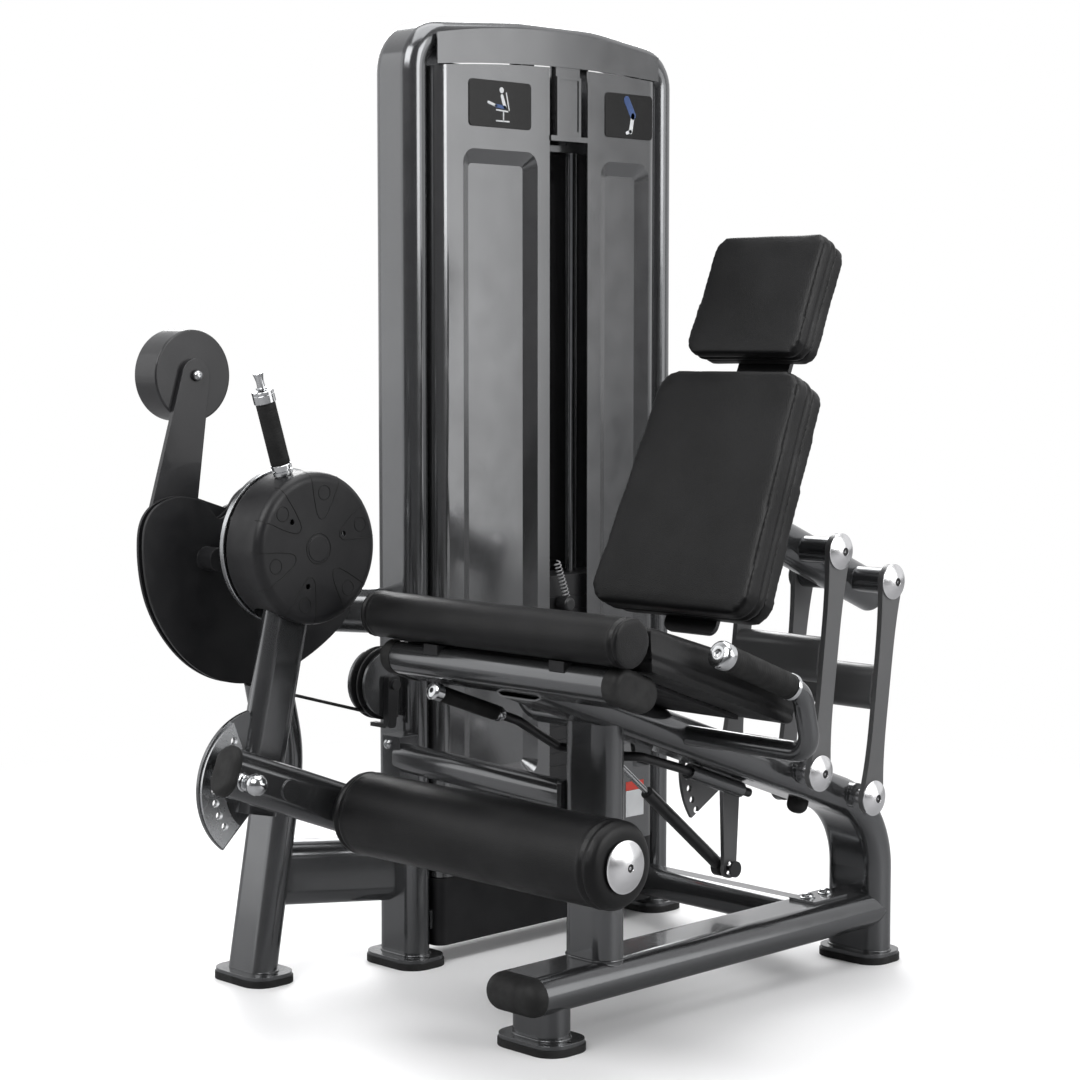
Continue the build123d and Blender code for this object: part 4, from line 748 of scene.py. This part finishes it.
# ---------------------------------------------------------------- cover, placards, turned metal
def make_cover_details():
    """Raised petal outlines and circles on the pivot cover, drawn near black: their dark colour is
    painted shade of the cover's grooves.
    """
    def on_cover(radius, angle):
        """Point on the cover's flat face, or at that distance over its rounded rim."""
        t = math.radians(angle)
        back, over = 0.0, radius - COVER_FLAT
        if over > 0:
            turn = min(over / COVER_ROUND, math.pi / 2)
            back = COVER_ROUND * (1 - math.cos(turn)) + max(0.0, over - COVER_ROUND * math.pi / 2)
            radius = COVER_FLAT + COVER_ROUND * math.sin(turn)
        y, z = MAIN_PIVOT
        return at(COVER_FACE_X - back + 0.1, y + radius * math.cos(t), z + radius * math.sin(t))

    def circle(name, angle, radius, size):
        middle = on_cover(radius, angle)
        ring = [middle + Vector((0, math.cos(t), math.sin(t))) * size * MM
                for t in (2 * math.pi * k / 40 for k in range(40))]
        finish_piece(tube_along(name, ring, 0.6, True, 2), "movement_arm", "line")

    for k, middle in enumerate((22, 82, 141, 195, 252, 312)):
        flank = [(132, 15.0), (124, 15.0), (116, 14.8), (108, 14.5), (96, 14.2), (84, 14.0), (72, 13.2),
                 (62, 12.0), (54, 10.0), (48.5, 6.5)]
        outline = [on_cover(r, middle - a) for r, a in flank] + [on_cover(46.5, middle)]
        outline += [on_cover(r, middle + a) for r, a in reversed(flank)]
        finish_piece(tube_along(f"cover_petal_{k}", outline, 0.7, False, 2), "movement_arm", "line")
        circle(f"cover_spot_{k}", middle, 88 if k % 2 else 91, 11.5)
    circle("cover_hub", 0, 0, 24.0)


def make_placard_art():
    """Plain generic pictograms on the two placards and a blank label, all without lettering."""
    def tile(name, outline, look, x=PLACARD_FACE_X):
        """Flat piece with the outline's (y, z) points, 0.3 mm thick."""
        build = bmesh.new()
        made = build.faces.new([build.verts.new(at(x, y, z)) for y, z in outline])
        lifted = bmesh.ops.extrude_face_region(build, geom=[made])
        for item in lifted["geom"]:
            if isinstance(item, bmesh.types.BMVert):
                item.co.x -= 0.3 * MM
        bmesh.ops.recalc_face_normals(build, faces=build.faces)
        mesh = bpy.data.meshes.new(name)
        build.to_mesh(mesh)
        build.free()
        finish_piece(new_object(name, mesh), "frame", look, smooth=False)

    def stroke(name, start, stop, width, look):
        """Round-ended bar between two (y, z) points."""
        lean = math.atan2(stop[1] - start[1], stop[0] - start[0])
        outline = []
        for (y, z), first in ((stop, -90), (start, 90)):
            for k in range(9):
                t = lean + math.radians(first + 22.5 * k)
                outline.append((y + width / 2 * math.cos(t), z + width / 2 * math.sin(t)))
        tile(name, outline, look)

    def person(name, y, z, size):
        """Seated figure with the lower leg held out, on a plain seat."""
        limbs = {"head": ((-3, 31), (-3, 31.1), 12, "ink_light"),
                 "trunk": ((-2, 19), (6, -2), 8, "ink_light"),
                 "thigh": ((6, -3), (-19, -1), 7, "ink_blue"),
                 "shin": ((-19, -1), (-40, 5), 5.5, "ink_light"),
                 "seat": ((14, -11), (-18, -9), 3, "ink_light"),
                 "rest": ((10, 26), (18, -8), 3, "ink_light"),
                 "leg": ((2, -12), (2, -30), 3, "ink_light"),
                 "base": ((18, -31), (-18, -31), 3, "ink_light")}
        for part, (start, stop, width, look) in limbs.items():
            stroke(f"{name}_{part}", (y + start[0] * size, z + start[1] * size),
                   (y + stop[0] * size, z + stop[1] * size), width * size, look)

    person("figure", 372.0, 1480.0, 0.85)
    stroke("leg_thigh", (684, 1511), (700, 1484), 15, "ink_blue")
    stroke("leg_shin", (700, 1484), (694, 1455), 9, "ink_light")
    stroke("leg_foot", (694, 1455), (684, 1452), 6, "ink_light")

    low, high, near, far = LABEL_Z - 33, LABEL_Z + 33, LABEL_Y - 24, LABEL_Y + 24
    for name, look, bottom, top in (("label_body", "ink_light", low, high - 17),
                                    ("label_head", "ink_red", high - 16.5, high)):
        tile(name, [(near, bottom), (far, bottom), (far, top), (near, top)], look, PANEL_FACE_X)


def make_bright_trim():
    """Turned bright parts: lever end and collar, pin housing, counterweight bolt, index disc's rim."""
    end = lathe("lever_end", on_lever(-71.5), on_lever(-88.5),
                [(0, 7.6), (0, 13.4), (1, 14.2), (14.5, 14.2), (17, 12.2), (18, 9.5), (18, 4.2),
                 (13, 4.0)], 56)
    finish_piece(end, "release_lever", "chrome")
    collar = lathe("lever_collar", on_lever(46.3), on_lever(62),
                   [(0, 7.6), (0, 11.2), (1, 12.2), (9, 12.2), (12.5, 9.5), (16.5, 9.0), (16.5, 7.6)], 56)
    finish_piece(collar, "release_lever", "chrome")
    pin = (-335.9, 412.8)
    housing = lathe("pin_housing", at(-298.2, *pin), at(-289, *pin),
                    [(0, 11.1), (0, 14.5), (2.5, 14.5), (3.2, 12.6), (8.6, 12.6), (9.3, 11.6),
                     (9.3, 6.2)], 48)
    finish_piece(housing, "ankle_arm", "chrome")
    hub = (-236.0, 1021.0)
    bolt = lathe("weight_bolt", at(-534.6, *hub), at(-530, *hub),
                 [(0, 3.0), (0, 8.0), (2.2, 7.6), (4.2, 5.4), (4.6, 3.2), (3.0, 2.6)], 36)
    finish_piece(bolt, "cam_assembly", "silver")
    rim = lathe("disc_rim", at(-427, *MAIN_PIVOT), at(-418, *MAIN_PIVOT),
                [(0, 118), (0, 122.6), (0.8, 123.4), (8.2, 123.4), (9, 122.6), (9, 118)], 120, ring=True)
    finish_piece(rim, "cam_assembly", "silver")


def dome(radius, height, socket):
    """Profile of a domed cap from its base outwards, with a recessed screw head in the middle."""
    steps = 10
    radii = [socket + (radius - socket) * (1 - k / steps) for k in range(steps + 1)]
    arc = [(height * (1 - r ** 2 / radius ** 2), r) for r in radii]
    crown = arc[-1][0]
    return arc + [(crown - 0.8, socket - 0.4), (crown - 3.2, socket - 0.4), (crown - 3.2, 2.4),
                  (crown - 1.0, 2.2), (crown - 1.0, 1.2), (crown - 3.0, 1.0)]


def recess_shade_ring(name, body, x, y, z, facing):
    """Dark ring of painted shade filling the recess round a cap's screw; x, y, z is the cap's top in
    row-frame millimetres.
    """
    start, stop = Vector((x - facing * 2.6, y, z)) * MM, Vector((x - facing * 0.9, y, z)) * MM
    # painted shade: a black ring fills the recess between the screw head and the recess wall
    piece = lathe(name, start, stop, [(0, 2.4), (0, 6.6), (1.7, 6.6), (1.7, 2.4)], 36, ring=True)
    finish_piece(piece, body, "cam_black")


def make_pivot_caps():
    """Domed aluminium caps on the backrest links and the shin roller."""
    rim, roller_rim = 1.6, 1.8
    for node, body in (("lower_pivot_pins", "frame"), ("upper_pivot_pins", "backrest")):
        low, high = (Vector(v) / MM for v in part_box(node))
        half = (high.x - low.x) / 2
        middle, inner = (low.x + high.x) / 2, half - CAP_HEIGHT
        cap = [(inner, 12.5), (inner, CAP_RADIUS), (inner + rim, CAP_RADIUS)]
        cap += [(inner + rim + d, r) for d, r in dome(CAP_RADIUS - 0.1, CAP_HEIGHT - rim, 7.0)]
        profile = [(half - d, r) for d, r in reversed(cap)] + [(half + d, r) for d, r in cap]
        spots = ((low.y + CAP_RADIUS, high.z - CAP_RADIUS), (high.y - CAP_RADIUS, low.z + CAP_RADIUS))
        for place, (y, z) in zip(("front", "rear"), spots):
            start, stop = Vector((middle - half, y, z)) * MM, Vector((middle + half, y, z)) * MM
            pin = lathe(f"{node}_{place}", start, stop, profile, 72)
            finish_piece(pin, body, "aluminium", *([node] if place == "front" else []))
            for side, facing in (("left", 1), ("right", -1)):
                recess_shade_ring(f"{node}_{place}_socket_{side}", body, middle + facing * half, y, z, facing)

    low, high = (Vector(v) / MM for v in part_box("roller_end_cap"))
    centre = (low + high) / 2
    start, stop = Vector((low.x, centre.y, centre.z)) * MM, Vector((high.x, centre.y, centre.z)) * MM
    radius, height = (high.z - low.z) / 2, high.x - low.x
    profile = [(0, radius), (roller_rim, radius)]
    profile += [(roller_rim + d, r) for d, r in dome(radius - 0.1, height - roller_rim, 6.0)]
    cap = lathe("roller_dome", start, stop, profile, 96)
    finish_piece(cap, "ankle_arm", "aluminium", "roller_end_cap")
    recess_shade_ring("roller_dome_socket", "ankle_arm", high.x, centre.y, centre.z, 1)


def make_start_handle():
    """Chrome tube and collars of the start handle, and the pull knob of its plunger."""
    pivot, along = start_handle_axis()
    far = pivot + along
    tube = [(46.5, 6.3), (46.5, 12), (121, 12), (121.6, 15.4), (127.4, 15.6), (128, 13.6), (130, 13.6),
            (130.6, 16.2), (137.2, 16.3), (138, 15.4), (138, 10), (238, 10), (238, 16.4), (239.2, 17.4),
            (251.4, 17.4), (252, 16.9), (252.6, 17.4), (256.8, 17.4), (258, 16.2), (258, 6.3)]
    finish_piece(lathe("start_handle_tube", pivot, far, tube, 64, ring=True), "movement_arm", "chrome",
                 "rom_handle")
    knob = [(60, 3), (60, 6), (258.6, 6), (259, 9.0), (262.4, 9.4), (263.4, 6.4), (272, 6.0), (280, 7.2),
            (285, 8.4), (286, 7.6), (286, 3), (284.5, 2.4)]
    finish_piece(lathe("start_handle_knob", pivot, far, knob, 56), "rom_plunger", "chrome", "rom_plunger")


def make_handle_ends():
    """Rounded ends with a recessed screw, and the thin collars of the two side handles."""
    end = [(3.5, 2.0), (3.5, 4.4), (0.5, 5.0), (0, 6.0), (0.4, 12), (1.8, 17.4), (4.4, 20.6), (8, 21.5),
           (19, 21.5), (20.6, 20.8), (21.4, 19.0)]
    ring = [(0, 16.2), (0, 20.4), (0.8, 21), (7, 21), (8, 20), (8.4, 16.2)]
    for hand, name in ((-1, "right"), (1, "left")):
        x = hand * HANDLE_X
        tip = lathe(f"handle_end_{name}", on_handle(x, 54), on_handle(x, 74), end, 64)
        finish_piece(tip, "frame", "chrome", *(["handle_rings"] if hand < 0 else []))
        collar = lathe(f"handle_collar_{name}", on_handle(x, 214), on_handle(x, 222), ring, 64, ring=True)
        finish_piece(collar, "frame", "chrome")


def make_frame_bolts():
    """Two domed nuts on washers on the rear flange plate, and one button head on the tower."""
    nut = [(0, 13), (1.6, 13), (2.0, 12.4), (2.0, 10.4), (4.0, 10.2), (6.4, 8.6), (8.2, 5.4), (9.0, 1.5)]
    for k, y in enumerate((648, 696)):
        piece = lathe(f"flange_nut_{k}", at(-6, y, 125), at(-6, y, 134), nut, 48)
        finish_piece(piece, "frame", "silver", *(["frame_bolts"] if k == 0 else []))
    button = [(0, 9), (1.4, 9), (3.6, 7.8), (5.4, 5.2), (5.9, 3.4), (3.6, 2.8)]
    bolt = lathe("bracket_bolt", at(-504, 132, 392), at(-504, 126, 392), button, 40)
    finish_piece(bolt, "frame", "silver")


def weld_bead(name, centre, half_x, half_y):
    """Round weld bead about the foot of an upright flat-oval tube of that half size."""
    count = 72
    flat = half_x - half_y
    points = []
    for k in range(count):
        t = 2 * math.pi * k / count
        shift = flat if math.cos(t) > 0 else -flat
        points.append(centre + Vector((shift + half_y * math.cos(t), half_y * math.sin(t), 0)) * MM)
    finish_piece(tube_along(name, points, 2.2, True, 3), "frame", "gunmetal")


def make_welds():
    """Beads where the posts stand on their feet, and where the front post stands on the floor tube."""
    foot_top, floor_tube_top = 18.8, 120.4
    for name, x, y, half_x, half_y in (("front", 0, 0, 50, 30), ("rear", 0, 785, 60, 30),
                                       ("far", -625, -66, 50, 25), ("column", -530, 192, 50, 25),
                                       ("back", -530, 800, 50, 25)):
        weld_bead(f"foot_weld_{name}", at(x, y, foot_top), half_x, half_y)
    weld_bead("post_weld", at(0, 117, floor_tube_top), 50, 30)


# ---------------------------------------------------------------- assembly
def dress_nodes():
    """Give every CAD node the look of its material slot."""
    for entry in frame["record"]["subparts"]:
        node = frame["nodes"][entry["node"]]
        node.data.materials.clear()
        node.data.materials.append(MATERIALS[entry["material_slot"]])


make_camera()
MATERIALS = make_materials()
make_lanyard()
make_stack_cable()
make_studio()
dress_nodes()
make_pads()
make_grips()
make_cover_details()
make_placard_art()
make_bright_trim()
make_pivot_caps()
make_start_handle()
make_handle_ends()
make_frame_bolts()
make_welds()
